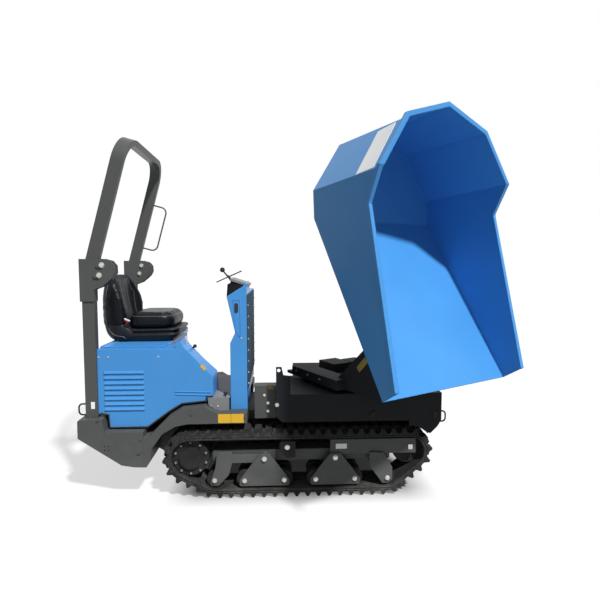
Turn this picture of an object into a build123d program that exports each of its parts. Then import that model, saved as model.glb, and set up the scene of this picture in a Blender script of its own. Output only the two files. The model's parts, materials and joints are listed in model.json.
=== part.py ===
from build123d import *
import os
from math import acos, atan2, cos, degrees, hypot, pi, radians, sin

# Tracked site dumper with a swivelling, forward-tipping skip. All sizes in millimetres.
# +X points forward, +Y to the machine's left, +Z up. The origin lies on the ground under the
# middle of the machine. The skip rests swivelled to the right and tipped.

# ---- driving dimensions: tracks ------------------------------------------------------------
TRACK_OUTER_Y = 515.0        # centre plane to the outer edge of a track
TRACK_WIDTH = 250.0
BELT_THICKNESS = 26.0
LUG_HEIGHT = 34.0
LUG_PITCH = 72.0             # wished pitch, rounded so that the lugs close the loop
LUG_BASE = 44.0
LUG_TIP = 12.0
ROLLER_RADIUS = 54.0
SPROCKET_RADIUS = 122.0
IDLER_RADIUS = 100.0
SPROCKET_X, SPROCKET_Z = -700.0, 266.0
IDLER_X, IDLER_Z = 742.0, 292.0
REAR_ROLLER_X = -544.0
FRONT_ROLLER_X = 599.0
BOGIE_X = (-218.0, 250.0)    # middle of each two-roller bogie
BOGIE_HALF_BASE = 130.0
BOGIE_PIN_Z = 243.0
CARRIER_X, CARRIER_Z = -70.0, 334.0
CARRIER_RADIUS = 52.0
SEAT_CLEARANCE = 0.3         # running gap between a wheel and the belt
SPROCKET_BOLTS = 10
BOLT_CIRCLE = 104.0

# ---- driving dimensions: frame and body ----------------------------------------------------
FRAME_HALF_WIDTH = 500.0
FRAME_REAR_X, FRAME_FRONT_X = -140.0, 958.0
FRAME_TOP_Z, FRAME_SKIRT_Z = 684.0, 500.0
PLATE = 12.0                 # thickness of the frame's plates
CHASSIS_HALF_WIDTH = 235.0
CHASSIS_FLOOR_Z = 200.0
CASTING_SEAM_X = -1000.0     # the rear casting bolts on here
HOOD_HALF_WIDTH = 440.0
HOOD_REAR_X, HOOD_TOP_Z = -1300.0, 983.0
HOOD_SHEET = 6.0
LOUVRES = 8
LOUVRE_PITCH = 34.7
CONSOLE_HALF_WIDTH = 420.0
CONSOLE_REAR_X, CONSOLE_FRONT_X = -442.0, -332.0
GUARD_PLATE = 6.0
POST_Y = 430.0               # centre plane of a hoop leg
POST_REAR_X, POST_FRONT_X = -1377.0, -1300.0
HOOP_LEAN = 15.2             # forward lean of the hoop, degrees
HOOP_TUBE_DEPTH, HOOP_TUBE_WIDTH = 80.0, 38.0
HOOP_TOP_Z = 2360.0
HOOP_PIVOT = (-1263.0, 1527.0)
PIN_CLEARANCE = 0.05

# ---- driving dimensions: swivel, tip and skip ----------------------------------------------
SWIVEL_X = 294.0
SWIVEL_REST = 60.3           # the skip rests this far to the right, degrees
TIP_REST = 86.3              # and tipped by this much, degrees
TIP_PIVOT = (783.0, 1078.0)  # forward of the swivel axis, above the ground
RAM_FOOT = (755.0, 830.0)
RAM_EYE = (205.0, 772.0)     # with the skip down
ARM_Y = 220.0
ARM_PLATE = 24.0
SKIP_PLATE = 5.0
SKIP_BOTTOM_Z = 800.0        # with the skip down
SKIP_RIM_Z = 1430.0
SKIP_HALF_WIDTH = 525.0      # over the rim
SKIP_FLARE = 35.0            # each side wall leans out by this from bottom to rim
RIM_DEPTH, RIM_OUT = 22.0, 22.0   # box section round the rim: height and how far it stands out

os.makedirs("parts", exist_ok=True)


def save(built, label):
    """Name a finished piece and write its STEP file."""
    built.part.label = label
    export_step(built.part, "parts/" + label + ".step")


def side_plane(y=0.0):
    """Sketch plane at the given Y: sketch x is forward, sketch y is up, its normal is -Y."""
    return Plane(origin=(0, y, 0), x_dir=(1, 0, 0), z_dir=(0, -1, 0))


def slab(points, y_from, y_to, rounding=0.0, mode=Mode.ADD):
    """Add an outline of (x, z) points to the open part, filling y_from to y_to."""
    with BuildSketch(side_plane(y_to)) as outline:
        with BuildLine():
            Polyline(*points, close=True)
        make_face()
        if rounding:
            fillet(outline.vertices(), rounding)
    extrude(outline.sketch, amount=y_to - y_from, mode=mode)


SIDES = (("right", -1.0), ("left", 1.0))


# ---- rubber tracks -------------------------------------------------------------------------
# wheels that the belt runs round, counter-clockwise seen from the right: (x, z, radius)
BELT_WHEELS = (
    (REAR_ROLLER_X, ROLLER_RADIUS + BELT_THICKNESS + LUG_HEIGHT, ROLLER_RADIUS),
    (FRONT_ROLLER_X, ROLLER_RADIUS + BELT_THICKNESS + LUG_HEIGHT, ROLLER_RADIUS),
    (IDLER_X, IDLER_Z, IDLER_RADIUS),
    (SPROCKET_X, SPROCKET_Z, SPROCKET_RADIUS),
)
ROLLER_Z = BELT_WHEELS[0][1]


def belt_tangents():
    """Outward normal angle of each straight run that leaves a wheel."""
    angles = []
    for i, (x, z, r) in enumerate(BELT_WHEELS):
        nx, nz, nr = BELT_WHEELS[(i + 1) % len(BELT_WHEELS)]
        run = atan2(nz - z, nx - x)
        angles.append(run - acos((r - nr) / hypot(nx - x, nz - z)))
    return angles


def belt_stretches():
    """Arc and straight stretches of the belt's middle line, with their lengths."""
    normals = belt_tangents()
    stretches = []
    middle = BELT_THICKNESS / 2
    for i, (x, z, r) in enumerate(BELT_WHEELS):
        start = normals[i - 1]
        turn = (normals[i] - start) % (2 * pi)
        stretches.append(("arc", (x, z, r, start, turn), (r + middle) * turn))
        nx, nz, nr = BELT_WHEELS[(i + 1) % len(BELT_WHEELS)]
        ux, uz = cos(normals[i]), sin(normals[i])
        a = (x + r * ux, z + r * uz)
        b = (nx + nr * ux, nz + nr * uz)
        stretches.append(("run", (a, b, normals[i]), hypot(b[0] - a[0], b[1] - a[1])))
    return stretches


STRETCHES = belt_stretches()
BELT_LENGTH = sum(length for kind, data, length in STRETCHES)
LUG_COUNT = round(BELT_LENGTH / LUG_PITCH)


def belt_point(distance, outward):
    """Point at a distance along the belt, at a height above its inner face."""
    distance %= BELT_LENGTH
    for kind, data, length in STRETCHES:
        if distance <= length:
            break
        distance -= length
    share = distance / length
    if kind == "arc":
        x, z, r, start, turn = data
        angle = start + turn * share
        return (x + (r + outward) * cos(angle), z + (r + outward) * sin(angle))
    a, b, normal = data
    return (
        a[0] + (b[0] - a[0]) * share + outward * cos(normal),
        a[1] + (b[1] - a[1]) * share + outward * sin(normal),
    )


def lug_outline():
    """Outer outline of a track: four corners for each lug."""
    pitch = BELT_LENGTH / LUG_COUNT
    corners = []
    for i in range(LUG_COUNT):
        middle = pitch * i
        for reach, height in (
            (-LUG_BASE / 2, 0.0),
            (-LUG_TIP / 2, LUG_HEIGHT),
            (LUG_TIP / 2, LUG_HEIGHT),
            (LUG_BASE / 2, 0.0),
        ):
            corners.append(belt_point(middle + reach, BELT_THICKNESS + height))
    return corners


for side, sign in SIDES:
    y_far = sign * TRACK_OUTER_Y
    y_near = sign * (TRACK_OUTER_Y - TRACK_WIDTH)
    with BuildPart() as track:
        with BuildSketch(side_plane(max(y_far, y_near))):
            with BuildLine():
                Polyline(*lug_outline(), close=True)
            make_face()
            with BuildLine(mode=Mode.PRIVATE) as inner:
                for kind, data, length in STRETCHES:
                    if kind == "run":
                        Line(data[0], data[1])
                    else:
                        x, z, r, start, turn = data
                        CenterArc((x, z), r, degrees(start), degrees(turn))
            make_face(inner.edges(), mode=Mode.SUBTRACT)
        extrude(amount=TRACK_WIDTH)
    save(track, "track_" + side)

# ---- wheels inside the tracks --------------------------------------------------------------
PLATE_OUT_Y = 505.0          # outer face of the bogie plates
PLATE_IN_Y = 275.0           # inner face of the bogie plates
ROLLER_OUT_Y, ROLLER_IN_Y = 479.0, 301.0
BEAM_OUT_Y, BEAM_IN_Y = 450.0, 330.0
BEAM_TOP_Z, BEAM_LOW_Z = 300.0, 226.0
ROLLER_XS = (
    REAR_ROLLER_X,
    BOGIE_X[0] - BOGIE_HALF_BASE,
    BOGIE_X[0] + BOGIE_HALF_BASE,
    BOGIE_X[1] - BOGIE_HALF_BASE,
    BOGIE_X[1] + BOGIE_HALF_BASE,
    FRONT_ROLLER_X,
)


def span(sign, y_a, y_b):
    """Plane and depth that fill from y_a to y_b on one side of the machine."""
    return side_plane(max(sign * y_a, sign * y_b)), abs(y_b - y_a)


def round_bar(sign, x, z, radius, y_a, y_b, mode=Mode.ADD):
    """Add a cylinder along Y to the open part."""
    plane, depth = span(sign, y_a, y_b)
    with BuildSketch(plane) as disc:
        with Locations((x, z)):
            Circle(radius)
    extrude(disc.sketch, amount=depth, mode=mode)


def plate_shape(sign, points, y_a, y_b, rounding=0.0, mode=Mode.ADD):
    """Add a plate of (x, z) outline to the open part on one side of the machine."""
    low, high = sorted((sign * y_a, sign * y_b))
    slab(points, low, high, rounding, mode)


for side, sign in SIDES:
    # drive sprocket: lobed rim, drum and bolted cap
    with BuildPart() as sprocket:
        plane, depth = span(sign, 372.0, 408.0)
        with BuildSketch(plane):
            with Locations((SPROCKET_X, SPROCKET_Z)):
                Circle(SPROCKET_RADIUS - SEAT_CLEARANCE)
        extrude(amount=depth)
        round_bar(sign, SPROCKET_X, SPROCKET_Z, 118.0, 408.0, 478.0)
        round_bar(sign, SPROCKET_X, SPROCKET_Z, 70.0, 478.0, 498.0)
        round_bar(sign, SPROCKET_X, SPROCKET_Z, 92.0, CHASSIS_HALF_WIDTH, 372.0)
        for i in range(SPROCKET_BOLTS):
            angle = 2 * pi * (i + 0.5) / SPROCKET_BOLTS
            bolt_x = SPROCKET_X + BOLT_CIRCLE * cos(angle)
            bolt_z = SPROCKET_Z + BOLT_CIRCLE * sin(angle)
            round_bar(sign, bolt_x, bolt_z, 8.0, 478.0, 486.0)
    save(sprocket, "sprocket_" + side)
    # front idler wheel
    with BuildPart() as idler:
        round_bar(sign, IDLER_X, IDLER_Z, IDLER_RADIUS - SEAT_CLEARANCE, 340.0, 440.0)
        round_bar(sign, IDLER_X, IDLER_Z, 26.0, 440.0, 470.0)
        round_bar(sign, IDLER_X, IDLER_Z, 26.0, 310.0, 340.0)
    save(idler, "idler_" + side)
    # bottom rollers: two treads and a thinner middle
    with BuildPart() as rollers:
        for x in ROLLER_XS:
            round_bar(sign, x, ROLLER_Z, ROLLER_RADIUS - SEAT_CLEARANCE, 430.0, ROLLER_OUT_Y)
            round_bar(sign, x, ROLLER_Z, 38.0, 350.0, 430.0)
            round_bar(sign, x, ROLLER_Z, ROLLER_RADIUS - SEAT_CLEARANCE, ROLLER_IN_Y, 350.0)
    save(rollers, "track_rollers_" + side)
    # track frame: long beam, bosses for the bogies, idler fork and front cover plate
    with BuildPart() as beam:
        plate_shape(
            sign,
            [(-560, BEAM_LOW_Z), (-560, BEAM_TOP_Z), (620, BEAM_TOP_Z), (620, BEAM_LOW_Z)],
            BEAM_IN_Y,
            BEAM_OUT_Y,
        )
        for y_a, y_b in ((470.5, 492.0), (288.0, 309.5)):
            plate_shape(sign, [(218, 277), (218, 376), (790, 376), (790, 277)], y_a, y_b)
        plate_shape(sign, [(560, 240), (560, BEAM_TOP_Z), (619, BEAM_TOP_Z), (619, 240)], 450.0, 470.5)
        plate_shape(sign, [(560, 240), (560, BEAM_TOP_Z), (619, BEAM_TOP_Z), (619, 240)], 309.5, 330.0)
        for x in BOGIE_X:
            face_y = 481.0 if x == BOGIE_X[0] else 493.0
            round_bar(sign, x, BOGIE_PIN_Z + 15, 26.0, BEAM_OUT_Y, face_y)
            round_bar(sign, x, BOGIE_PIN_Z + 15, 26.0, 287.0, BEAM_IN_Y)
        round_bar(sign, -478, 265, 26.0, BEAM_OUT_Y, 481.0)
        round_bar(sign, -478, 265, 26.0, 299.0, BEAM_IN_Y)
        round_bar(sign, 525, 262, 26.0, BEAM_OUT_Y, 493.0)
        round_bar(sign, 525, 262, 26.0, 287.0, BEAM_IN_Y)
        plate_shape(sign, [(-94, 300), (-94, 320), (-46, 320), (-46, 300)], BEAM_IN_Y, BEAM_OUT_Y)
    save(beam, "track_frame_" + side)
    # plates that carry the rollers, outside and inside the track
    with BuildPart() as bogies:
        for y_a, y_b, boss_a, boss_b in (
            (493.0, PLATE_OUT_Y, ROLLER_OUT_Y, 493.0),
            (PLATE_IN_Y, 287.0, 287.0, ROLLER_IN_Y),
        ):
            for x in BOGIE_X:
                half = BOGIE_HALF_BASE
                plate_shape(
                    sign,
                    [
                        (x - half - 34, 76),
                        (x + half + 34, 76),
                        (x + half + 34, 118),
                        (x + 34, 288),
                        (x - 34, 288),
                        (x - half - 34, 118),
                    ],
                    y_a,
                    y_b,
                    16.0,
                )
                for roller_x in (x - half, x + half):
                    round_bar(sign, roller_x, ROLLER_Z, 20.0, boss_a, boss_b)
            plate_shape(
                sign,
                [(478, 198), (478, 292), (571, 286), (631, 186), (632, 101), (600, 78), (566, 78)],
                y_a,
                y_b,
                10.0,
            )
            round_bar(sign, FRONT_ROLLER_X, ROLLER_Z, 20.0, boss_a, boss_b)
        for y_a, y_b in ((481.0, 493.0), (287.0, 299.0)):
            plate_shape(
                sign,
                [(-575, 100), (-572, 78), (-520, 76), (-452, 150), (-429, 232), (-429, 303), (-527, 303),
                 (-540, 200)],
                y_a,
                y_b,
                12.0,
            )
        plate_shape(sign, [(-429, 229), (-429, 284), (-180, 284), (-180, 229)], 481.0, 493.0)
        round_bar(sign, REAR_ROLLER_X, ROLLER_Z, 20.0, ROLLER_OUT_Y, 481.0)
        round_bar(sign, REAR_ROLLER_X, ROLLER_Z, 20.0, 299.0, ROLLER_IN_Y)
    save(bogies, "roller_plates_" + side)
    # carrier roller under the upper run, with its bracket
    with BuildPart() as carrier:
        round_bar(sign, CARRIER_X, CARRIER_Z, CARRIER_RADIUS, 458.0, 489.0)
        round_bar(sign, CARRIER_X, CARRIER_Z, 14.0, 291.0, 458.0)
        round_bar(sign, CARRIER_X, CARRIER_Z, CARRIER_RADIUS, 291.0, 322.0)
        plate_shape(
            sign,
            [(-112, 300), (-112, 372), (-14, 372), (-14, 263), (-70, 263)],
            493.0,
            PLATE_OUT_Y,
            8.0,
        )
        round_bar(sign, CARRIER_X, CARRIER_Z, 14.0, 489.0, 493.0)
    save(carrier, "carrier_roller_" + side)

# ---- chassis -------------------------------------------------------------------------------
with BuildPart() as main_frame:
    slab(
        [
            (CASTING_SEAM_X, 260),
            (-900, CHASSIS_FLOOR_Z),
            (780, CHASSIS_FLOOR_Z),
            (850, 290),
            (850, FRAME_SKIRT_Z),
            (CASTING_SEAM_X, FRAME_SKIRT_Z),
        ],
        -CHASSIS_HALF_WIDTH,
        CHASSIS_HALF_WIDTH,
    )
    for x_a, x_b in ((30, 110), (-400, -320)):
        slab([(x_a, 234), (x_a, 296), (x_b, 296), (x_b, 234)], -BEAM_IN_Y, BEAM_IN_Y)
save(main_frame, "main_frame")

STEP_DOWN_Z, STEP_DOWN_Y = 570.0, 30.0
LUG_CLEARANCE = 12.0
with BuildPart() as front_frame:
    slab(
        [
            (FRAME_REAR_X, FRAME_SKIRT_Z + 40),
            (FRAME_REAR_X, FRAME_TOP_Z),
            (FRAME_FRONT_X, FRAME_TOP_Z),
            (FRAME_FRONT_X, FRAME_SKIRT_Z),
            (934, 458),
            (884, 408),
            (868, 424),
            (912, 470),
            (922, FRAME_SKIRT_Z),
            (FRAME_REAR_X + 40, FRAME_SKIRT_Z),
        ],
        -FRAME_HALF_WIDTH,
        FRAME_HALF_WIDTH,
    )
    # the left rear corner is stepped down
    slab(
        [
            (FRAME_REAR_X - 1, STEP_DOWN_Z),
            (FRAME_REAR_X - 1, FRAME_TOP_Z + 1),
            (0, FRAME_TOP_Z + 1),
            (0, STEP_DOWN_Z),
        ],
        STEP_DOWN_Y,
        FRAME_HALF_WIDTH + 1,
        mode=Mode.SUBTRACT,
    )
    for side, sign, rear_x in (("right", -1.0, FRAME_REAR_X), ("left", 1.0, 0.0)):
        low, high = sorted((sign * 252, sign * (FRAME_HALF_WIDTH - PLATE)))
        slab(
            [
                (rear_x + PLATE, FRAME_SKIRT_Z - 1),
                (rear_x + PLATE, FRAME_TOP_Z - PLATE),
                (FRAME_FRONT_X - PLATE, FRAME_TOP_Z - PLATE),
                (FRAME_FRONT_X - PLATE, FRAME_SKIRT_Z - 1),
            ],
            low,
            high,
            mode=Mode.SUBTRACT,
        )
        # gusset between the skirt and the front apron, cut round clear of the lugs
        plate_shape(
            sign,
            [(IDLER_X, FRAME_SKIRT_Z + 1), (IDLER_X, IDLER_Z), (876, 416), (920, 462), (930, FRAME_SKIRT_Z + 1)],
            FRAME_HALF_WIDTH - PLATE,
            FRAME_HALF_WIDTH,
        )
        round_bar(
            sign,
            IDLER_X,
            IDLER_Z,
            IDLER_RADIUS + BELT_THICKNESS + LUG_HEIGHT + LUG_CLEARANCE,
            FRAME_HALF_WIDTH - PLATE - 1,
            FRAME_HALF_WIDTH + 1,
            Mode.SUBTRACT,
        )
save(front_frame, "front_frame")

# plate with a lifting eye at the frame's right rear corner
LIFT_EYE = (-122.0, 844.0)
LIFT_EYE_RADIUS = 12.0
with BuildPart() as lifting_plate:
    plate_shape(
        -1.0,
        [(-140, FRAME_TOP_Z), (-140, 866), (-104, 866), (-92, 812), (-46, 806), (-46, FRAME_TOP_Z)],
        FRAME_HALF_WIDTH - PLATE,
        FRAME_HALF_WIDTH,
    )
    round_bar(-1.0, *LIFT_EYE, LIFT_EYE_RADIUS, FRAME_HALF_WIDTH - PLATE, FRAME_HALF_WIDTH, Mode.SUBTRACT)
save(lifting_plate, "lifting_plates")

# box of valves behind the front frame, in steps that drop towards the left: (y from, y to, top z)
VALVE_STEPS = ((-410, -330, 722), (-330, -200, 690), (-200, 0, 640), (0, 300, 560))
VALVE_REAR_X, VALVE_FRONT_X = -285.0, FRAME_REAR_X - 1
with BuildPart() as valve_box:
    for y_from, y_to, top_z in VALVE_STEPS:
        slab(
            [(VALVE_REAR_X, FRAME_SKIRT_Z), (VALVE_REAR_X, top_z), (VALVE_FRONT_X, top_z),
             (VALVE_FRONT_X, FRAME_SKIRT_Z)],
            y_from,
            y_to,
        )
save(valve_box, "valve_box")

# rear casting and fenders
ARCH = [(-983, 215), (-964, 246), (-946, 340), (-879, 432), (-796, 481), (-714, 497)]
with BuildPart() as counterweight:
    slab(
        [
            (-1415, 413),
            (-1415, 525),
            (-1405, 535),
            (-1262, 535),
            (-1246, 452),
            (CASTING_SEAM_X, 450),
            (CASTING_SEAM_X, 215),
            (-1060, 217),
            (-1142, 231),
        ],
        -FRAME_HALF_WIDTH,
        FRAME_HALF_WIDTH,
    )
save(counterweight, "counterweight")

for side, sign in SIDES:
    with BuildPart() as fender:
        plate_shape(
            sign,
            ARCH
            + [(-330, 497), (-330, 566), (-516, 566), (-560, 585), (-607, 614), (-754, 599), (-836, 548)]
            + [(-969, 412), (CASTING_SEAM_X, 412), (CASTING_SEAM_X, 215)],
            250.0,
            FRAME_HALF_WIDTH,
        )
    save(fender, "fender_" + side)

# hood: sheet shell open below; on the right a nose with a sloping top runs forward beside the footwell
HOOD_FRONT_X = -890.0        # front of the full-width part, under the seat
NOSE_FRONT_X = -554.0
NOSE_IN_Y_TOP, NOSE_IN_Y_LOW = -260.0, -180.0
NOSE_WAIST_Z, NOSE_LOW_Z = 880.0, 640.0
HOOD_LOW = [(-984, 458), (-1235, 458), (-1240, 545), (HOOD_REAR_X, 555)]
LOUVRE_TOP_Z, LOUVRE_REAR_X, LOUVRE_LENGTH = 842.0, -1258.0, 255.0


def nose_form(inset):
    """Add the nose, drawn in by an inset, with its inner side leaning out towards the floor."""
    slope = inset * 1.4
    slab(
        [
            (HOOD_FRONT_X, HOOD_TOP_Z - inset),
            (-800 + inset, HOOD_TOP_Z - inset),
            (-792 + inset, 1026 - inset),
            (-764, 1036 - inset),
            (-750 - inset, 1000),
            (NOSE_FRONT_X - inset, 790 - slope),
            (NOSE_FRONT_X - inset, 662),
            (-592, 658),
            (-598, 628 - inset * 4),
            (-760, 612 - inset * 4),
            (-845, 560 - inset * 4),
            (HOOD_FRONT_X, 527 - inset * 4),
        ],
        -HOOD_HALF_WIDTH + inset,
        NOSE_IN_Y_LOW - inset,
    )
    inner_side = Plane(origin=(HOOD_FRONT_X, 0, 0), x_dir=(0, 1, 0), z_dir=(1, 0, 0))
    with BuildSketch(inner_side) as wedge:
        with BuildLine():
            Polyline(
                (NOSE_IN_Y_TOP - inset, 1100),
                (NOSE_IN_Y_TOP - inset, NOSE_WAIST_Z),
                (NOSE_IN_Y_LOW - inset, NOSE_LOW_Z),
                (0, NOSE_LOW_Z),
                (0, 1100),
                close=True,
            )
        make_face()
    extrude(wedge.sketch, amount=NOSE_FRONT_X - HOOD_FRONT_X + 100, mode=Mode.SUBTRACT)


with BuildPart() as engine_hood:
    nose_form(0)
    slab(
        HOOD_LOW + [(HOOD_REAR_X, HOOD_TOP_Z), (HOOD_FRONT_X, HOOD_TOP_Z), (HOOD_FRONT_X, 527)],
        -HOOD_HALF_WIDTH,
        HOOD_HALF_WIDTH,
    )
    with BuildPart(mode=Mode.PRIVATE) as hood_space:
        nose_form(HOOD_SHEET)
        slab(
            [
                (HOOD_REAR_X + HOOD_SHEET, 400),
                (HOOD_REAR_X + HOOD_SHEET, HOOD_TOP_Z - HOOD_SHEET),
                (HOOD_FRONT_X - HOOD_SHEET, HOOD_TOP_Z - HOOD_SHEET),
                (HOOD_FRONT_X - HOOD_SHEET, 400),
            ],
            -HOOD_HALF_WIDTH + HOOD_SHEET,
            HOOD_HALF_WIDTH - HOOD_SHEET,
        )
    add(hood_space.part, mode=Mode.SUBTRACT)
    louvre_plane = Plane(origin=(LOUVRE_REAR_X, 0, 0), x_dir=(0, 1, 0), z_dir=(1, 0, 0))
    for side, sign in SIDES:
        for row in range(LOUVRES):
            top = LOUVRE_TOP_Z - row * LOUVRE_PITCH
            with BuildSketch(louvre_plane):
                with BuildLine():
                    Polyline(
                        (sign * (HOOD_HALF_WIDTH - 1), top),
                        (sign * (HOOD_HALF_WIDTH + 8), top - 20),
                        (sign * (HOOD_HALF_WIDTH - 1), top - 24),
                        close=True,
                    )
                make_face()
            extrude(amount=LOUVRE_LENGTH)
save(engine_hood, "engine_hood")

with BuildPart() as engine_block:
    slab([(-1240, FRAME_SKIRT_Z), (-1240, 900), (-910, 900), (-910, FRAME_SKIRT_Z)], -230, 230)
save(engine_block, "engine_block")

# floor of the footwell, the step and the mounting box on the right
FLOOR_Z, FLOOR_PLATE = 614.3, 7.7
FLOOR_LEFT_Y = 340.0
STEP_Z = 652.0
with BuildPart() as footboard:
    floor_top = FLOOR_Z + FLOOR_PLATE
    slab(
        [
            (HOOD_FRONT_X + 0.3, FLOOR_Z),
            (HOOD_FRONT_X + 0.3, floor_top),
            (CONSOLE_REAR_X - 0.3, floor_top),
            (CONSOLE_REAR_X - 0.3, FLOOR_Z),
        ],
        NOSE_IN_Y_LOW + 0.3,
        FLOOR_LEFT_Y,
    )
    for x in (-860, -540):
        slab(
            [(x, FRAME_SKIRT_Z), (x, FLOOR_Z), (x + 20, FLOOR_Z), (x + 20, FRAME_SKIRT_Z)],
            -170,
            CHASSIS_HALF_WIDTH,
        )
    slab(
        [(-588, 614.3), (-588, STEP_Z), (-452, STEP_Z), (-452, 566.3), (-514, 566.3), (-553, 582), (-585, 605)],
        -446,
        -250,
    )
    slab([(-590, STEP_Z), (-590, 656), (-445, 656), (-445, STEP_Z)], -446, NOSE_IN_Y_LOW + 0.3)
    slab([(-552, FLOOR_Z), (-552, 656), (-445, 656), (-445, FLOOR_Z)], NOSE_IN_Y_LOW + 0.3, NOSE_IN_Y_LOW + 8)
save(footboard, "footboard")

# console: wall across the machine and a taller pod on the right, with a guard plate in front
WALL_REAR_X, WALL_TOP_Z = -395.0, 1340.0
POD_IN_Y = -80.0
CHEEK_TOP = (-463.0, 1322.0)
DASH_FRONT = (-354.0, 1391.0)
with BuildPart() as console:
    slab(
        [
            (CONSOLE_REAR_X, 566),
            (CONSOLE_REAR_X, 1014),
            (-409, 1083),
            CHEEK_TOP,
            DASH_FRONT,
            (-340, 1418),
            (-332, 1400),
            (CONSOLE_FRONT_X, 1345),
            (CONSOLE_FRONT_X, 566),
        ],
        -CONSOLE_HALF_WIDTH,
        POD_IN_Y,
    )
    slab(
        [
            (WALL_REAR_X, FLOOR_Z),
            (WALL_REAR_X, WALL_TOP_Z - 30),
            (WALL_REAR_X + 18, WALL_TOP_Z),
            (CONSOLE_FRONT_X, WALL_TOP_Z),
            (CONSOLE_FRONT_X, FLOOR_Z),
        ],
        POD_IN_Y,
        CONSOLE_HALF_WIDTH,
    )
save(console, "console")

with BuildPart() as console_guard:
    guard_front = CONSOLE_FRONT_X + GUARD_PLATE
    slab(
        [(CONSOLE_FRONT_X, 700), (CONSOLE_FRONT_X, 1330), (guard_front, 1330), (guard_front, 700)],
        -412,
        412,
    )
save(console_guard, "console_guard")

DASH_REAR_TOP, DASH_FRONT_TOP = (-449.0, 1407.0), (-356.0, 1400.0)
with BuildPart() as dash_panel:
    slab(
        [CHEEK_TOP, (-457, 1400), DASH_REAR_TOP, DASH_FRONT_TOP, DASH_FRONT],
        -CONSOLE_HALF_WIDTH + 8,
        POD_IN_Y - 8,
    )
save(dash_panel, "dash_panel")

# levers: a ball-topped stem, and a thin cross rod on a second stem
LEVER_ELBOW, LEVER_TIP = (-478.0, 1458.0), (-498.0, 1496.0)
CROSS_ROD = ((-556.0, 1409.0), (-379.0, 1488.0))
KNOB_RADIUS = 17.0
KNOB_ANGLES = (0, 30, 60, 90, 120, 150, 180)   # from the ball's bottom to its top, degrees


def rod_between(a, b, y, radius):
    """Add a round rod between two (x, z) points at the given Y."""
    along = Vector(b[0] - a[0], 0, b[1] - a[1])
    with BuildSketch(Plane(origin=(a[0], y, a[1]), x_dir=(0, 1, 0), z_dir=along)) as section:
        Circle(radius)
    extrude(section.sketch, amount=along.length)


def dash_top(x):
    """Height of the dash panel's upper face."""
    return DASH_REAR_TOP[1] + (x - DASH_REAR_TOP[0]) * (DASH_FRONT_TOP[1] - DASH_REAR_TOP[1]) / (
        DASH_FRONT_TOP[0] - DASH_REAR_TOP[0]
    )


LEVER_FOOT = (-432.0, 1412.0)


def lever_boot(y):
    """Add the boot that a lever comes out of."""
    slab([(-446, dash_top(-446)), (-440, 1424), (-424, 1424), (-405, dash_top(-405))], y - 20, y + 20)


with BuildPart() as ball_lever:
    lever_boot(-330.0)
    rod_between(LEVER_FOOT, (LEVER_TIP[0] + 6, LEVER_TIP[1] - 8), -330.0, 5)
    with BuildSketch(Plane(origin=(LEVER_TIP[0], -330, LEVER_TIP[1]), x_dir=(1, 0, 0), z_dir=(0, -1, 0))) as half:
        with BuildLine():
            Polyline(*[(KNOB_RADIUS * sin(radians(a)), -KNOB_RADIUS * cos(radians(a))) for a in KNOB_ANGLES],
                     close=True)
        make_face()
    revolve(half.sketch, axis=Axis((LEVER_TIP[0], -330, LEVER_TIP[1]), (0, 0, 1)))
save(ball_lever, "ball_lever")

with BuildPart() as cross_lever:
    lever_boot(-200.0)
    rod_between(LEVER_FOOT, LEVER_ELBOW, -200.0, 5)
    rod_between(*CROSS_ROD, -200.0, 4)
save(cross_lever, "cross_lever")

# ---- seat on its tilting plate -------------------------------------------------------------
SEAT_HALF_WIDTH = 240.0
LID_HINGE = (-1287.0, 991.0)
LID_KNUCKLE = 6.0            # outer radius of the hinge knuckles
LID_PLATE_Z = HOOD_TOP_Z + 0.3
LID_TOP_Z = LID_PLATE_Z + 8.7
CUSHION_Z = 1085.3


def rounded_in_plan(x_from, x_to, half_width, radius):
    """Round the upright corners of the open part to a rectangle seen from above."""
    with BuildSketch(Plane.XY.offset(LID_PLATE_Z)) as plan:
        with Locations(((x_from + x_to) / 2, 0)):
            RectangleRounded(x_to - x_from, 2 * half_width, radius)
    extrude(plan.sketch, amount=600, mode=Mode.INTERSECT)


with BuildPart() as seat_plate:
    slab(
        [
            (LID_HINGE[0], LID_PLATE_Z + 2), (LID_HINGE[0], LID_TOP_Z), (-872, LID_TOP_Z),
            (-872, LID_PLATE_Z), (-1278, LID_PLATE_Z),
        ],
        -400,
        400,
    )
    round_bar(1.0, *LID_HINGE, LID_KNUCKLE, -400, 400)
save(seat_plate, "seat_plate")

with BuildPart() as seat_base:
    slab(
        [(-1240, LID_TOP_Z), (-1255, 1085), (-805, 1085), (-800, 1050), (-832, LID_TOP_Z)],
        -200,
        200,
    )
    rounded_in_plan(-1255, -800, 200, 80)
save(seat_base, "seat_suspension")

with BuildPart() as seat_cushion:
    slab(
        [
            (-1195, CUSHION_Z), (-1190, 1150), (-1100, 1188), (-960, 1205),
            (-880, 1200), (-852, 1180), (-850, 1120), (-870, CUSHION_Z),
        ],
        -SEAT_HALF_WIDTH,
        SEAT_HALF_WIDTH,
    )
    rounded_in_plan(-1195, -850, SEAT_HALF_WIDTH, 80)
save(seat_cushion, "seat_cushion")

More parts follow.
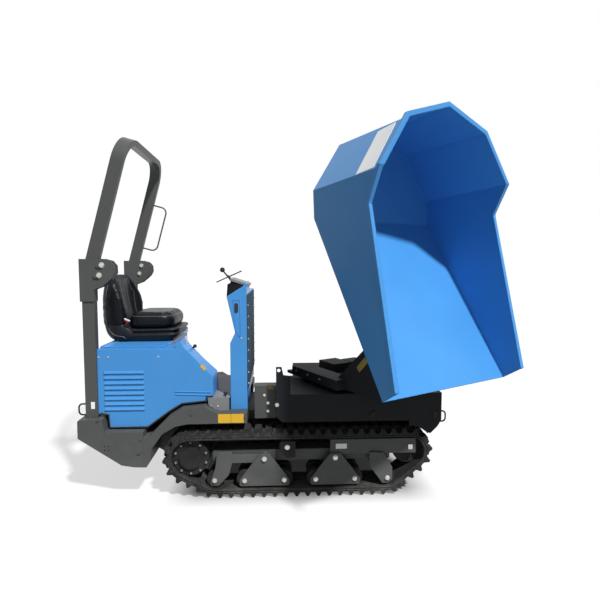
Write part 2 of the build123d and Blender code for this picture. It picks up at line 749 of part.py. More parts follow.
with BuildPart() as seat_back:
    slab(
        [
            (-1290, CUSHION_Z), (-1338, 1150), (-1348, 1250), (-1344, 1370), (-1326, 1440), (-1290, 1476),
            (-1252, 1468), (-1215, 1420), (-1195, 1330), (-1188, 1240), (-1190.3, 1150), (-1195.3, CUSHION_Z),
        ],
        -SEAT_HALF_WIDTH,
        SEAT_HALF_WIDTH,
    )
    rounded_in_plan(-1348, -1188, SEAT_HALF_WIDTH, 45)
    # the shoulders narrow towards the top
    with BuildSketch(Plane(origin=(-1360, 0, 0), x_dir=(0, 1, 0), z_dir=(1, 0, 0))) as front_view:
        with BuildLine():
            Polyline(
                (-200, CUSHION_Z - 1), (-240, 1150), (-240, 1290), (-205, 1400), (-150, 1462), (-110, 1477),
                (110, 1477), (150, 1462), (205, 1400), (240, 1290), (240, 1150), (200, CUSHION_Z - 1), close=True,
            )
        make_face()
    extrude(front_view.sketch, amount=200, mode=Mode.INTERSECT)
save(seat_back, "seat_back")

# ---- roll bar: posts with side plates, folding hoop, grab handle ----------------------------
BRACKET_IN_Y, BRACKET_OUT_Y = POST_Y - 33.0, POST_Y + 33.0
HOOP_PIN_RADIUS = 10.0
BRACKET_OUTLINE = [
    (-1387, 1294), (-1387, 1566), (-1235, 1567), (-1189, 1554), (-1165, 1524), (-1163, 1478),
    (-1180, 1446), (-1208, 1420), (-1242, 1392), (-1298, 1370), (-1298, 1294),
]
for side, sign in SIDES:
    with BuildPart() as post:
        plate_shape(
            sign,
            [
                (POST_REAR_X, 535),
                (POST_REAR_X, 1390),
                (POST_FRONT_X, 1390),
                (POST_FRONT_X, 535),
            ],
            POST_Y - 25,
            POST_Y + 25,
        )
        for y_a, y_b in ((BRACKET_IN_Y, BRACKET_IN_Y + 8), (BRACKET_OUT_Y - 8, BRACKET_OUT_Y)):
            plate_shape(
                sign,
                BRACKET_OUTLINE,
                y_a,
                y_b,
                2.0,
            )
        round_bar(sign, *HOOP_PIVOT, HOOP_PIN_RADIUS, BRACKET_IN_Y, BRACKET_OUT_Y)
        round_bar(sign, *HOOP_PIVOT, 17, BRACKET_OUT_Y, BRACKET_OUT_Y + 10)
        round_bar(sign, -1281, 1461, 17, BRACKET_OUT_Y, BRACKET_OUT_Y + 10)
    save(post, "roll_bar_post_" + side)

LEAN = radians(HOOP_LEAN)
HOOP_AXIS_X = -1305.0        # the leg's middle line crosses z = 1577 here
HOOP_AXIS_Z = 1577.0
HOOP_FOOT = 130.0            # the leg reaches this far below that point
HOOP_RISE = (HOOP_TOP_Z - HOOP_AXIS_Z) / cos(LEAN)
hoop_plane = Plane(
    origin=(HOOP_AXIS_X - HOOP_TUBE_DEPTH / 2 * cos(LEAN), 0, HOOP_AXIS_Z + HOOP_TUBE_DEPTH / 2 * sin(LEAN)),
    x_dir=(0, 1, 0),
    z_dir=(cos(LEAN), 0, -sin(LEAN)),
)
outer_y = POST_Y + HOOP_TUBE_WIDTH / 2
inner_y = POST_Y - HOOP_TUBE_WIDTH / 2
HOOP_CORNER = 180.0
with BuildPart() as hoop:
    with BuildSketch(hoop_plane):
        with BuildLine():
            FilletPolyline(
                (-outer_y, -HOOP_FOOT),
                (-outer_y, HOOP_RISE),
                (outer_y, HOOP_RISE),
                (outer_y, -HOOP_FOOT),
                radius=HOOP_CORNER,
            )
            Line((outer_y, -HOOP_FOOT), (inner_y, -HOOP_FOOT))
            FilletPolyline(
                (inner_y, -HOOP_FOOT),
                (inner_y, HOOP_RISE - HOOP_TUBE_WIDTH),
                (-inner_y, HOOP_RISE - HOOP_TUBE_WIDTH),
                (-inner_y, -HOOP_FOOT),
                radius=HOOP_CORNER - HOOP_TUBE_WIDTH,
            )
            Line((-inner_y, -HOOP_FOOT), (-outer_y, -HOOP_FOOT))
        make_face()
    extrude(amount=HOOP_TUBE_DEPTH)
    for side, sign in SIDES:
        plate_shape(
            sign,
            [(-1300, 1440), (-1280, 1560), (-1240, 1560), (-1232, 1520), (-1240, 1490), (-1270, 1450)],
            POST_Y - HOOP_TUBE_WIDTH / 2,
            POST_Y + HOOP_TUBE_WIDTH / 2,
        )
        round_bar(
            sign, *HOOP_PIVOT, HOOP_PIN_RADIUS + PIN_CLEARANCE, inner_y, outer_y, Mode.SUBTRACT
        )
save(hoop, "roll_bar_hoop")

HANDLE_REACH = 112.0


def leg_front(along):
    """Point (x, z) on the front face of a hoop leg, a distance up the leg."""
    x = HOOP_AXIS_X + HOOP_TUBE_DEPTH / 2 * cos(LEAN) + along * sin(LEAN)
    return (x, HOOP_AXIS_Z - HOOP_TUBE_DEPTH / 2 * sin(LEAN) + along * cos(LEAN))


HANDLE_TOP, HANDLE_LOW = leg_front(470), leg_front(110)
with BuildPart() as handle:
    with BuildLine(side_plane(POST_Y)):
        FilletPolyline(
            HANDLE_TOP,
            (HANDLE_TOP[0] + HANDLE_REACH * cos(LEAN), HANDLE_TOP[1] - HANDLE_REACH * sin(LEAN)),
            (HANDLE_LOW[0] + HANDLE_REACH * cos(LEAN), HANDLE_LOW[1] - HANDLE_REACH * sin(LEAN)),
            HANDLE_LOW,
            radius=45,
        )
    with BuildSketch(Plane(origin=(HANDLE_TOP[0], POST_Y, HANDLE_TOP[1]), z_dir=(cos(LEAN), 0, -sin(LEAN)))):
        Circle(6)
    sweep()
save(handle, "grab_handle")

# wire rings for tying down: middle heights at the rear and the front, size of a ring
REAR_RING_Z, FRONT_RING_Z = 585.0, 503.0
RING_REACH, RING_HALF_HEIGHT, RING_BEND, RING_WIRE = 52.0, 36.0, 24.0, 5.4

with BuildPart() as rings:
    for side, sign in SIDES:
        for x, z, out in ((POST_REAR_X, REAR_RING_Z, -1), (FRAME_FRONT_X, FRONT_RING_Z, 1)):
            y, end, low, high = sign * POST_Y, x + out * RING_REACH, z - RING_HALF_HEIGHT, z + RING_HALF_HEIGHT
            with BuildLine(side_plane(y)):
                FilletPolyline((x, low), (end, low), (end, high), (x, high), radius=RING_BEND)
            with BuildSketch(Plane(origin=(x, y, low), z_dir=(out, 0, 0))):
                RegularPolygon(RING_WIRE, 8)
            sweep()
save(rings, "tie_down_rings")

# ---- swivel base: slewing ring and the frame that turns on it --------------------------------
RING_RADIUS = 235.0
RING_TOP_Z = 699.0
TURN_GAP = 0.5
TURN_PLATE_Z = RING_TOP_Z + TURN_GAP
TURN_PLATE_TOP = TURN_PLATE_Z + 15.0
REST = radians(SWIVEL_REST)
TIP = radians(TIP_REST)

with BuildPart() as ring:
    with BuildSketch(Plane.XY.offset(FRAME_TOP_Z)):
        with Locations((SWIVEL_X, 0)):
            Circle(RING_RADIUS)
            Circle(RING_RADIUS - 45, mode=Mode.SUBTRACT)
    extrude(amount=RING_TOP_Z - FRAME_TOP_Z)
save(ring, "slewing_ring")


def swing_side(y=0.0):
    """Upright sketch plane of the swivelled frame: x forward from the swivel axis, y up."""
    forward = (cos(REST), -sin(REST), 0)
    left = (sin(REST), cos(REST), 0)
    origin = (SWIVEL_X + y * left[0], y * left[1], 0)
    return Plane(origin=origin, x_dir=forward, z_dir=(-left[0], -left[1], 0))


def swing_floor(z):
    """Level sketch plane of the swivelled frame: x forward, y to the left."""
    return Plane(origin=(SWIVEL_X, 0, z), x_dir=(cos(REST), -sin(REST), 0), z_dir=(0, 0, 1))


def swing_plate(points, y_low, y_high, rounding=0.0, mode=Mode.ADD):
    """Add a plate of (forward, z) outline between two side distances of the swivelled frame."""
    with BuildSketch(swing_side(y_high)) as outline:
        with BuildLine():
            Polyline(*points, close=True)
        make_face()
        if rounding:
            fillet(outline.vertices(), rounding)
    extrude(outline.sketch, amount=y_high - y_low, mode=mode)


def swing_bar(x, z, radius, y_low, y_high, mode=Mode.ADD):
    """Add a cylinder across the swivelled frame."""
    with BuildSketch(swing_side(y_high)) as disc:
        with Locations((x, z)):
            Circle(radius)
    extrude(disc.sketch, amount=y_high - y_low, mode=mode)


PIN_RADIUS = 20.0
BOSS_RADIUS = 42.0
with BuildPart() as swivel_base:
    with BuildSketch(swing_floor(TURN_PLATE_Z)):
        Circle(RING_RADIUS + 5)
        with Locations((240, 0)):
            Rectangle(480, 340)
    extrude(amount=TURN_PLATE_TOP - TURN_PLATE_Z)
    swing_plate(
        [(735, 735), (735, 790), (822, 790), (822, 735)],
        -ARM_Y + ARM_PLATE / 2,
        ARM_Y - ARM_PLATE / 2,
    )
    for y_low, y_high in ((-42.0, -27.0), (27.0, 42.0)):
        swing_plate([(725, 790), (725, 850), (785, 850), (822, 790)], y_low, y_high)
    swing_bar(*RAM_FOOT, 12.0, -42.0, 42.0)
    # housing of the rotary hose joint
    swing_plate([(-160, TURN_PLATE_TOP), (-160, 784), (40, 784), (40, TURN_PLATE_TOP)], -20, 140)
save(swivel_base, "swivel_base")

ARM_REAR, ARM_TOP_Z = -110.0, 780.0
FOOT_LENGTH, FOOT_TOP_Z = 70.0, 735.0
BEAM_IN, BEAM_OUT, BEAM_FRONT = 160.0, 300.0, 440.0
for side, sign in SIDES:
    with BuildPart() as arm:
        low, high = sorted((sign * (ARM_Y - ARM_PLATE / 2), sign * (ARM_Y + ARM_PLATE / 2)))
        pin_x, pin_z = TIP_PIVOT
        swing_plate(
            [
                (ARM_REAR, TURN_PLATE_TOP),
                (ARM_REAR, ARM_TOP_Z),
                (368, ARM_TOP_Z),
                (pin_x - 44, pin_z + 24),
                (pin_x + BOSS_RADIUS, pin_z),
                (824, 760),
                (780, TURN_PLATE_TOP),
            ],
            low,
            high,
        )
        swing_bar(pin_x, pin_z, BOSS_RADIUS, low, high)
        swing_bar(pin_x, pin_z, PIN_RADIUS + PIN_CLEARANCE, low, high, Mode.SUBTRACT)
        # box beam that the plate stands in, with a foot flange behind
        low, high = sorted((sign * BEAM_IN, sign * BEAM_OUT))
        for rear, front, top in ((ARM_REAR, BEAM_FRONT, ARM_TOP_Z), (ARM_REAR - FOOT_LENGTH, ARM_REAR, FOOT_TOP_Z)):
            swing_plate([(rear, TURN_PLATE_TOP), (rear, top), (front, top), (front, TURN_PLATE_TOP)], low, high)
    save(arm, "tip_arm_" + side)

# ---- tip ram: barrel on the cross member, rod towards the skip -------------------------------
RAM_RADIUS, ROD_RADIUS = 32.0, 18.0
BORE_START = 90.0            # the barrel is closed up to here, measured from its foot pin
ROD_STOP = 10.0              # left between the bore's end and the rod with the skip down
RAM_DOWN = hypot(RAM_EYE[0] - RAM_FOOT[0], RAM_EYE[1] - RAM_FOOT[1])


def tipped(x, z, angle=TIP):
    """Where a point of the skip, given with the skip down, lies once it has tipped."""
    dx, dz = x - TIP_PIVOT[0], z - TIP_PIVOT[1]
    return (
        TIP_PIVOT[0] + dx * cos(angle) + dz * sin(angle),
        TIP_PIVOT[1] - dx * sin(angle) + dz * cos(angle),
    )


EYE = tipped(*RAM_EYE)
RAM_UP = hypot(EYE[0] - RAM_FOOT[0], EYE[1] - RAM_FOOT[1])
RAM_TURN = atan2(EYE[1] - RAM_FOOT[1], EYE[0] - RAM_FOOT[0])


def ram_plane(distance):
    """Plane across the ram, a distance from its foot pin towards the eye."""
    ux, uz = cos(RAM_TURN), sin(RAM_TURN)
    x = RAM_FOOT[0] + ux * distance
    along = (ux * cos(REST), -ux * sin(REST), uz)
    origin = (SWIVEL_X + x * cos(REST), -x * sin(REST), RAM_FOOT[1] + uz * distance)
    return Plane(origin=origin, x_dir=(sin(REST), cos(REST), 0), z_dir=along)


with BuildPart() as barrel:
    swing_bar(*RAM_FOOT, 28.0, -25.0, 25.0)
    with BuildSketch(ram_plane(0)):
        Rectangle(50, 44)
    extrude(amount=75)
    with BuildSketch(ram_plane(70)):
        Circle(RAM_RADIUS)
    extrude(amount=RAM_DOWN - 135)
    with BuildSketch(ram_plane(BORE_START)):
        Circle(ROD_RADIUS + 0.3)
    extrude(amount=RAM_DOWN, mode=Mode.SUBTRACT)
    swing_bar(*RAM_FOOT, 12.0 + PIN_CLEARANCE, -30.0, 30.0, Mode.SUBTRACT)
save(barrel, "ram_barrel")

with BuildPart() as rod:
    with BuildSketch(ram_plane(RAM_UP - 20)):
        Circle(ROD_RADIUS)
    extrude(amount=-(RAM_DOWN - 20 - BORE_START - ROD_STOP))
    swing_bar(*EYE, 26.0, -25.0, 25.0)
    swing_bar(*EYE, 12.5, -25.0, 25.0, Mode.SUBTRACT)
save(rod, "ram_rod")

# ---- skip: its own sketches are laid out with the skip down, on planes that have tipped ------
SKIP_ORIGIN = tipped(0, 0)
tip_forward = (cos(TIP) * cos(REST), -cos(TIP) * sin(REST), -sin(TIP))
tip_up = (sin(TIP) * cos(REST), -sin(TIP) * sin(REST), cos(TIP))
tip_left = (sin(REST), cos(REST), 0)


def skip_point(y, z):
    """World position of the skip's own point (0, y, z)."""
    x0 = SWIVEL_X + SKIP_ORIGIN[0] * cos(REST)
    y0 = -SKIP_ORIGIN[0] * sin(REST)
    return tuple(
        base + left * y + up * z for base, left, up in zip((x0, y0, SKIP_ORIGIN[1]), tip_left, tip_up)
    )


def skip_floor(z):
    """Sketch plane parallel to the skip's bottom: x forward, y to the left."""
    return Plane(origin=skip_point(0, z), x_dir=tip_forward, z_dir=tip_up)


def skip_side(y=0.0):
    """Sketch plane along the skip: x forward, y up from the bottom."""
    return Plane(origin=skip_point(y, 0), x_dir=tip_forward, z_dir=tuple(-v for v in tip_left))


# corners of the skip with the skip down: forward, half width at the rim
REAR_PEAK_X = -536.0         # the rear panels meet in a shallow V
REAR_X, REAR_WIDTH = -425.0, 324.0
SIDE_REAR_X = -136.0
KNEE_X, KNEE_Z = 35.0, 1333.0
BEND_X = 35.0                # the flat bottom ends here and the floor rises to the lip
LIP_X, LIP_Z = 1047.0, 1371.0
SPOUT_X, SPOUT_Z = 980.0, 1490.0
SKIP_TOP = 1560.0


def tub(plate, step):
    """Build the skip's solid form up to the rim's line.

    The form is drawn in by a plate's thickness, and at the rim by a step as well.
    """
    with BuildPart(mode=Mode.PRIVATE) as form:
        for z in (SKIP_BOTTOM_Z + plate, SKIP_TOP):
            rise = (z - SKIP_BOTTOM_Z) / (SKIP_RIM_Z - SKIP_BOTTOM_Z)
            inset = plate + step * rise
            half = SKIP_HALF_WIDTH - SKIP_FLARE * (1 - rise) - inset
            slope = (SKIP_HALF_WIDTH - REAR_WIDTH) / (SIDE_REAR_X - REAR_X)
            rear_slope = REAR_WIDTH / (REAR_X - REAR_PEAK_X)
            side_x = SIDE_REAR_X + inset * 0.3
            peak_x = REAR_PEAK_X + inset * hypot(1, rear_slope) / rear_slope
            chamfer_drop = inset * (hypot(1, slope) - 1 - slope * 0.3)
            corner_x = (half - slope * side_x - chamfer_drop + rear_slope * peak_x) / (rear_slope - slope)
            corner_y = rear_slope * (corner_x - peak_x)
            with BuildSketch(skip_floor(z)):
                with BuildLine():
                    Polyline(
                        (1200, -half),
                        (side_x, -half),
                        (corner_x, -corner_y),
                        (peak_x, 0),
                        (corner_x, corner_y),
                        (side_x, half),
                        (1200, half),
                        close=True,
                    )
                make_face()
        loft(ruled=True)
    return form.part


def rim_line(drop):
    """Points of the rim's line seen from the side, lowered by a drop, from lip to rear."""
    return [(SPOUT_X, SPOUT_Z - drop), (KNEE_X, KNEE_Z - drop), (SIDE_REAR_X, SKIP_RIM_Z - drop),
            (-700, SKIP_RIM_Z - drop)]


def skip_profile(points, reach, mode):
    """Extrude an outline of the skip's side to both sides."""
    with BuildSketch(skip_side()) as outline:
        with BuildLine():
            Polyline(*points, close=True)
        make_face()
    extrude(outline.sketch, amount=reach, both=True, mode=mode)


with BuildPart() as skip:
    add(tub(0, RIM_OUT))
    skip_profile(
        [(-700, SKIP_BOTTOM_Z), (BEND_X, SKIP_BOTTOM_Z), (LIP_X, LIP_Z)] + rim_line(0),
        700,
        Mode.INTERSECT,
    )
    with BuildPart(mode=Mode.PRIVATE) as inside:
        add(tub(SKIP_PLATE, RIM_OUT))
        rise = (LIP_Z - SKIP_BOTTOM_Z) / (LIP_X - BEND_X)
        lift = SKIP_PLATE * hypot(1, rise)
        skip_profile(
            [
                (-700, SKIP_BOTTOM_Z),
                (BEND_X, SKIP_BOTTOM_Z),
                (BEND_X, SKIP_BOTTOM_Z + lift),
                (1190, SKIP_BOTTOM_Z + lift + rise * (1190 - BEND_X)),
                (1190, SKIP_TOP),
                (-700, SKIP_TOP),
            ],
            700,
            Mode.INTERSECT,
        )
    add(inside.part, mode=Mode.SUBTRACT)
    with BuildPart(mode=Mode.PRIVATE) as rim:
        add(tub(0, 0))
        skip_profile(rim_line(0) + rim_line(RIM_DEPTH)[::-1], 700, Mode.INTERSECT)
        add(tub(0, RIM_OUT), mode=Mode.SUBTRACT)
    add(rim.part)
save(skip, "skip")

with BuildPart() as brackets:
    pin_x, pin_z = TIP_PIVOT
    rise = (LIP_Z - SKIP_BOTTOM_Z) / (LIP_X - BEND_X)
    for sign in (-1.0, 1.0):
        for inner_face, outer_face in ((ARM_Y - 32, ARM_Y - 17), (ARM_Y + 17, ARM_Y + 32)):
            low, high = sorted((sign * inner_face, sign * outer_face))
            with BuildSketch(skip_side(high)) as lug:
                with BuildLine():
                    Polyline(
                        (pin_x - 150, SKIP_BOTTOM_Z + rise * (pin_x - 150 - BEND_X)),
                        (pin_x - 38, pin_z - 22),
                        (pin_x + 20, pin_z - 40),
                        (pin_x + 44, pin_z),
                        (pin_x + 120, SKIP_BOTTOM_Z + rise * (pin_x + 120 - BEND_X)),
                        close=True,
                    )
                make_face()
                with Locations((pin_x, pin_z)):
                    Circle(44)
            extrude(lug.sketch, amount=high - low)
        low, high = sorted((sign * (ARM_Y - 32), sign * (ARM_Y + 32)))
        with BuildSketch(skip_side(high)) as disc:
            with Locations(TIP_PIVOT):
                Circle(PIN_RADIUS)
        extrude(disc.sketch, amount=high - low)
    for low, high in ((-42.0, -27.0), (27.0, 42.0)):
        eye_x, eye_z = RAM_EYE
        with BuildSketch(skip_side(high)) as lug:
            with BuildLine():
                Polyline(
                    (eye_x - 90, SKIP_BOTTOM_Z + rise * (eye_x - 90 - BEND_X)),
                    (eye_x - 26, eye_z),
                    (eye_x + 26, eye_z),
                    (eye_x + 90, SKIP_BOTTOM_Z + rise * (eye_x + 90 - BEND_X)),
                    close=True,
                )
            make_face()
            with Locations((eye_x, eye_z)):
                Circle(27)
                Circle(12.5, mode=Mode.SUBTRACT)
        extrude(lug.sketch, amount=high - low)
save(brackets, "skip_brackets")
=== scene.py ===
"""Looks of a tracked site dumper: paint, tracks, seat, fasteners and plates round its frame."""

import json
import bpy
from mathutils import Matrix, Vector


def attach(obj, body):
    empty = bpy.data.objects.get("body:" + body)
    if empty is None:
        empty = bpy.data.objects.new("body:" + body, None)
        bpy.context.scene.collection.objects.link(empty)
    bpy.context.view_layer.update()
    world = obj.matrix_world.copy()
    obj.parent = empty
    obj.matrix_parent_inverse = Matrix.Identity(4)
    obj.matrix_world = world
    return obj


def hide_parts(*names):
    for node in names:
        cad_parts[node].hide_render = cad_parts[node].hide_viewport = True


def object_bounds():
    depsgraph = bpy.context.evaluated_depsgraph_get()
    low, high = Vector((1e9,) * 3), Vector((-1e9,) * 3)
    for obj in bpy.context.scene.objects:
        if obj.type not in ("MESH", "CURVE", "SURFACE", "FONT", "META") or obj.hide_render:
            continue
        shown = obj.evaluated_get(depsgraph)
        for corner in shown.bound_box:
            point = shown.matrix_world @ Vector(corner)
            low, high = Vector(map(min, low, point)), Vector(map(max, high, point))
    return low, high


bl_info = {
    "name": "Tracked site dumper",
    "version": (1, 0, 0),
    "blender": (4, 5, 0),
    "location": "3D View > Sidebar > Dumper",
    "description": "Dresses the packed frame of a tracked site dumper with a swivelling skip",
    "category": "Object",
}

from math import acos, atan2, ceil, copysign, cos, hypot, pi, radians, sin

import bmesh
import bpy
from mathutils import Vector
from mathutils.bvhtree import BVHTree

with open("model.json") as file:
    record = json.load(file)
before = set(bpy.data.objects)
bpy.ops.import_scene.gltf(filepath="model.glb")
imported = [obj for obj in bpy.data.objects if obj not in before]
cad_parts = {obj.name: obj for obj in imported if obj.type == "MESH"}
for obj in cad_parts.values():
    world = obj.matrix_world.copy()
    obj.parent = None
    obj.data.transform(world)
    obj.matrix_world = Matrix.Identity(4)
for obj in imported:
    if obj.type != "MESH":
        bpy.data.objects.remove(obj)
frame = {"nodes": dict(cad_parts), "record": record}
NODES = frame["nodes"]
BODY_NODES = frame["record"]["behaviour"]["bodies"]
CAD_BOX = [list(corner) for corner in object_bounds()]
SIDES = {"right": -1.0, "left": 1.0}

# ---- colours ----


def linear(red, green, blue):
    """Linear colour from the 0 to 255 values of a colour chart."""
    return tuple(
        (c / 255 / 12.92 if c <= 10 else ((c / 255 + 0.055) / 1.055) ** 2.4)
        for c in (red, green, blue)
    )


def tint(label, note, *chart):
    """Colour property whose default comes from chart values."""
    return bpy.props.FloatVectorProperty(
        name=label, description=note, subtype="COLOR", size=3, min=0, max=1,
        default=linear(*chart))


class DumperColours(bpy.types.PropertyGroup):
    """Paints and coverings of the machine."""

    blue: tint("Body paint", "Blue of the hood, console and skip", 73, 148, 215)
    frame_grey: tint("Frame paint", "Grey of the castings, track frames and roll bar", 78, 80, 80)
    # front paint: the anthracite made darker still, as painted shade of the skip over the front
    # frame
    front_grey: tint("Front paint", "Anthracite of the front frame and swing arms", 34, 37, 40)
    seat_black: tint("Upholstery", "Vinyl of the cushion and the backrest", 17, 19, 23)
    rubber: tint("Track rubber", "Compound of the tracks", 46, 46, 46)
    plate_yellow: tint("Blank plates", "Yellow of the bare label plates", 226, 178, 30)
    dust: tint("Dust", "Dry site dust that settles low on the machine", 138, 136, 132)


def measure(label, note, low, high, value, **kind):
    """Number property between two limits."""
    return bpy.props.FloatProperty(
        name=label, description=note, min=low, max=high, default=value, **kind)


class DumperSizes(bpy.types.PropertyGroup):
    """Sizes of the details, in metres."""

    lug_height: measure("Lug height", "Height of a track lug above the belt",
                        0.01, 0.06, 0.032, unit="LENGTH")
    belt: measure("Belt thickness", "Thickness of the rubber belt",
                  0.01, 0.05, 0.026, unit="LENGTH")
    lug_pitch: measure("Lug pitch", "Wished distance from lug to lug along the belt",
                       0.03, 0.15, 0.072, unit="LENGTH")
    bolt_sides: bpy.props.IntProperty(
        name="Bolt sides", description="Corners of a bolt head's washer", min=12, max=48,
        default=20)
    edge_wear: measure("Edge wear", "Share of worn paint along sharp edges",
                       0, 1, 0.35, subtype="FACTOR")
    dustiness: measure("Dustiness", "Amount of dust low on the machine",
                       0, 1, 0.3, subtype="FACTOR")


def colours():
    return bpy.context.scene.dumper_colours


def sizes():
    return bpy.context.scene.dumper_sizes


# ---- node trees ----


def new_tree(name, kind, inputs, outputs):
    """Empty node group with named sockets: its tree, its input node and its output node."""
    tree = bpy.data.node_groups.new(name, kind)
    for label, sort, *value in inputs:
        socket = tree.interface.new_socket(
            label, in_out="INPUT", socket_type="NodeSocket" + sort)
        if value:
            socket.default_value = value[0]
    for label, sort in outputs:
        tree.interface.new_socket(label, in_out="OUTPUT", socket_type="NodeSocket" + sort)
    return tree, tree.nodes.new("NodeGroupInput"), tree.nodes.new("NodeGroupOutput")


def put(tree, kind, settings=None, **inputs):
    """Adds a node. Inputs take a value or another node's output socket, by name or number."""
    node = tree.nodes.new(kind)
    for key, value in (settings or {}).items():
        setattr(node, key, value)
    for key, value in inputs.items():
        numbered = key[0] == "i" and key[1:].isdigit()
        socket = node.inputs[int(key[1:]) if numbered else key.replace("_", " ")]
        if isinstance(value, bpy.types.NodeSocket):
            tree.links.new(value, socket)
        else:
            socket.default_value = value
    return node


def got(tree, kind, settings=None, **inputs):
    """First output of an added node."""
    return put(tree, kind, settings, **inputs).outputs[0]


def math_node(tree, operation, a, b, clamp=False):
    """Result of one sum on sockets or numbers."""
    return got(tree, "ShaderNodeMath", {"operation": operation, "use_clamp": clamp}, i0=a, i1=b)


def ramp(tree, value, low, high, to_low=0.0, to_high=1.0):
    """Value carried from one span to another and held at its ends."""
    return got(tree, "ShaderNodeMapRange", {"clamp": True}, Value=value, From_Min=low,
               From_Max=high, To_Min=to_low, To_Max=to_high)


def object_place(tree):
    """Object coordinates."""
    return put(tree, "ShaderNodeTexCoord").outputs["Object"]


def cloud(tree, scale, detail, roughness):
    """Noise on Object coordinates, from 0 to 1."""
    return put(tree, "ShaderNodeTexNoise", {"noise_dimensions": "3D"}, Vector=object_place(tree),
               Scale=scale, Detail=detail, Roughness=roughness).outputs["Fac"]


def bare_tree(owner, output):
    """Emptied node tree of a material or a world, and its new output node."""
    owner.use_nodes = True
    owner.node_tree.nodes.clear()
    return owner.node_tree, owner.node_tree.nodes.new(output)


# ---- shader groups ----
# spans that a mask rises over: how far the rounded normal turns at an edge, and noise
EDGE_SPAN, CHIP_SPAN, DUST_SPAN = (0.985, 0.80), (0.42, 0.62), (0.38, 0.68)
# upward part of a normal that gathers dust, and the most that it gathers
UP_SPAN, UP_SHARE = (0.6, 1.0), 0.35
CREASE_SPAN, DRIFT_SPAN = (0.0, 0.22), (0.3, 0.7)


def build_worn_edges():
    """Mask of the sharp edges, broken up by noise."""
    tree, start, end = new_tree("worn_edges", "ShaderNodeTree", [
        ("Reach", "Float", 0.003), ("Breakup", "Float", 45.0)], [("Mask", "Float")])
    rounded = got(tree, "ShaderNodeBevel", {"samples": 4}, Radius=start.outputs["Reach"])
    flat = put(tree, "ShaderNodeNewGeometry").outputs["Normal"]
    dot = put(tree, "ShaderNodeVectorMath", {"operation": "DOT_PRODUCT"},
              i0=rounded, i1=flat).outputs["Value"]
    patches = ramp(tree, cloud(tree, start.outputs["Breakup"], 5.0, 0.6), *CHIP_SPAN)
    mask = math_node(tree, "MULTIPLY", ramp(tree, dot, *EDGE_SPAN), patches, True)
    tree.links.new(mask, end.inputs["Mask"])
    return tree


def build_settled_dust():
    """Mask of dust: thick near the ground, thin on faces that look up."""
    tree, start, end = new_tree("settled_dust", "ShaderNodeTree", [
        ("Amount", "Float", 0.3), ("Top", "Float", 0.6)], [("Mask", "Float")])
    height = put(tree, "ShaderNodeSeparateXYZ", Vector=object_place(tree)).outputs["Z"]
    normal = put(tree, "ShaderNodeNewGeometry").outputs["Normal"]
    facing = put(tree, "ShaderNodeSeparateXYZ", Vector=normal).outputs["Z"]
    share = math_node(tree, "DIVIDE", height, start.outputs["Top"])
    low = ramp(tree, share, 0.0, 1.0, 1.0, 0.0)
    up = ramp(tree, facing, *UP_SPAN, 0.0, UP_SHARE)
    both = math_node(tree, "ADD", math_node(tree, "MULTIPLY", low, low), up, True)
    patches = ramp(tree, cloud(tree, 7.0, 6.0, 0.62), *DUST_SPAN)
    mask = math_node(tree, "MULTIPLY", math_node(tree, "MULTIPLY", both, patches),
                     start.outputs["Amount"], True)
    tree.links.new(mask, end.inputs["Mask"])
    return tree


# skins by name: label and default of the scale input, detail and roughness of the fine grain
# (none for pebbled cells), its weight, then the noise of the lumps and of the shade's drift,
# each as scale, detail and roughness, and the span of the shade
SKINS = {
    "paint_skin": ("Peel scale", 420.0, (2.0, 0.5), 0.5,
                   (26.0, 3.0, 0.5), (2.2, 3.0, 0.5), (0.94, 1.05)),
    "cast_skin": ("Grain scale", 300.0, (5.0, 0.65), 1.0,
                  (38.0, 3.0, 0.5), (11.0, 5.0, 0.6), (0.84, 1.14)),
    "hide_grain": ("Cell scale", 420.0, None, 0.4,
                   (9.0, 3.0, 0.5), (9.0, 3.0, 0.5), (0.9, 1.1)),
}


def build_skin(name):
    """Relief of a covering, fine grain over broad lumps, and the drift of its shade."""
    label, scale, grain, weight, lumps, drift, span = SKINS[name]
    tree, start, end = new_tree(name, "ShaderNodeTree", [(label, "Float", scale)],
                                [("Height", "Float"), ("Shade", "Float")])
    if grain:
        fine = cloud(tree, start.outputs[label], *grain)
    else:
        cells = put(tree, "ShaderNodeTexVoronoi", {"feature": "DISTANCE_TO_EDGE"},
                    Vector=object_place(tree), Scale=start.outputs[label])
        fine = ramp(tree, cells.outputs["Distance"], *CREASE_SPAN)
    height = math_node(
        tree, "ADD", math_node(tree, "MULTIPLY", fine, weight), cloud(tree, *lumps))
    tree.links.new(height, end.inputs["Height"])
    tree.links.new(ramp(tree, cloud(tree, *drift), *DRIFT_SPAN, *span), end.inputs["Shade"])
    return tree


# ---- finishes ----
GROUPS, MATERIALS = {}, {}
BARE_STEEL = linear(128, 126, 120)
COAT_ROUGHNESS, WORN_ROUGHNESS, DUST_ROUGHNESS = 0.12, 0.5, 0.85
# widest span of a skin's shade, and the shares of the roughness at its ends
SHADE_SPAN, ROUGH_SHARES = (0.84, 1.14), (1.12, 0.9)


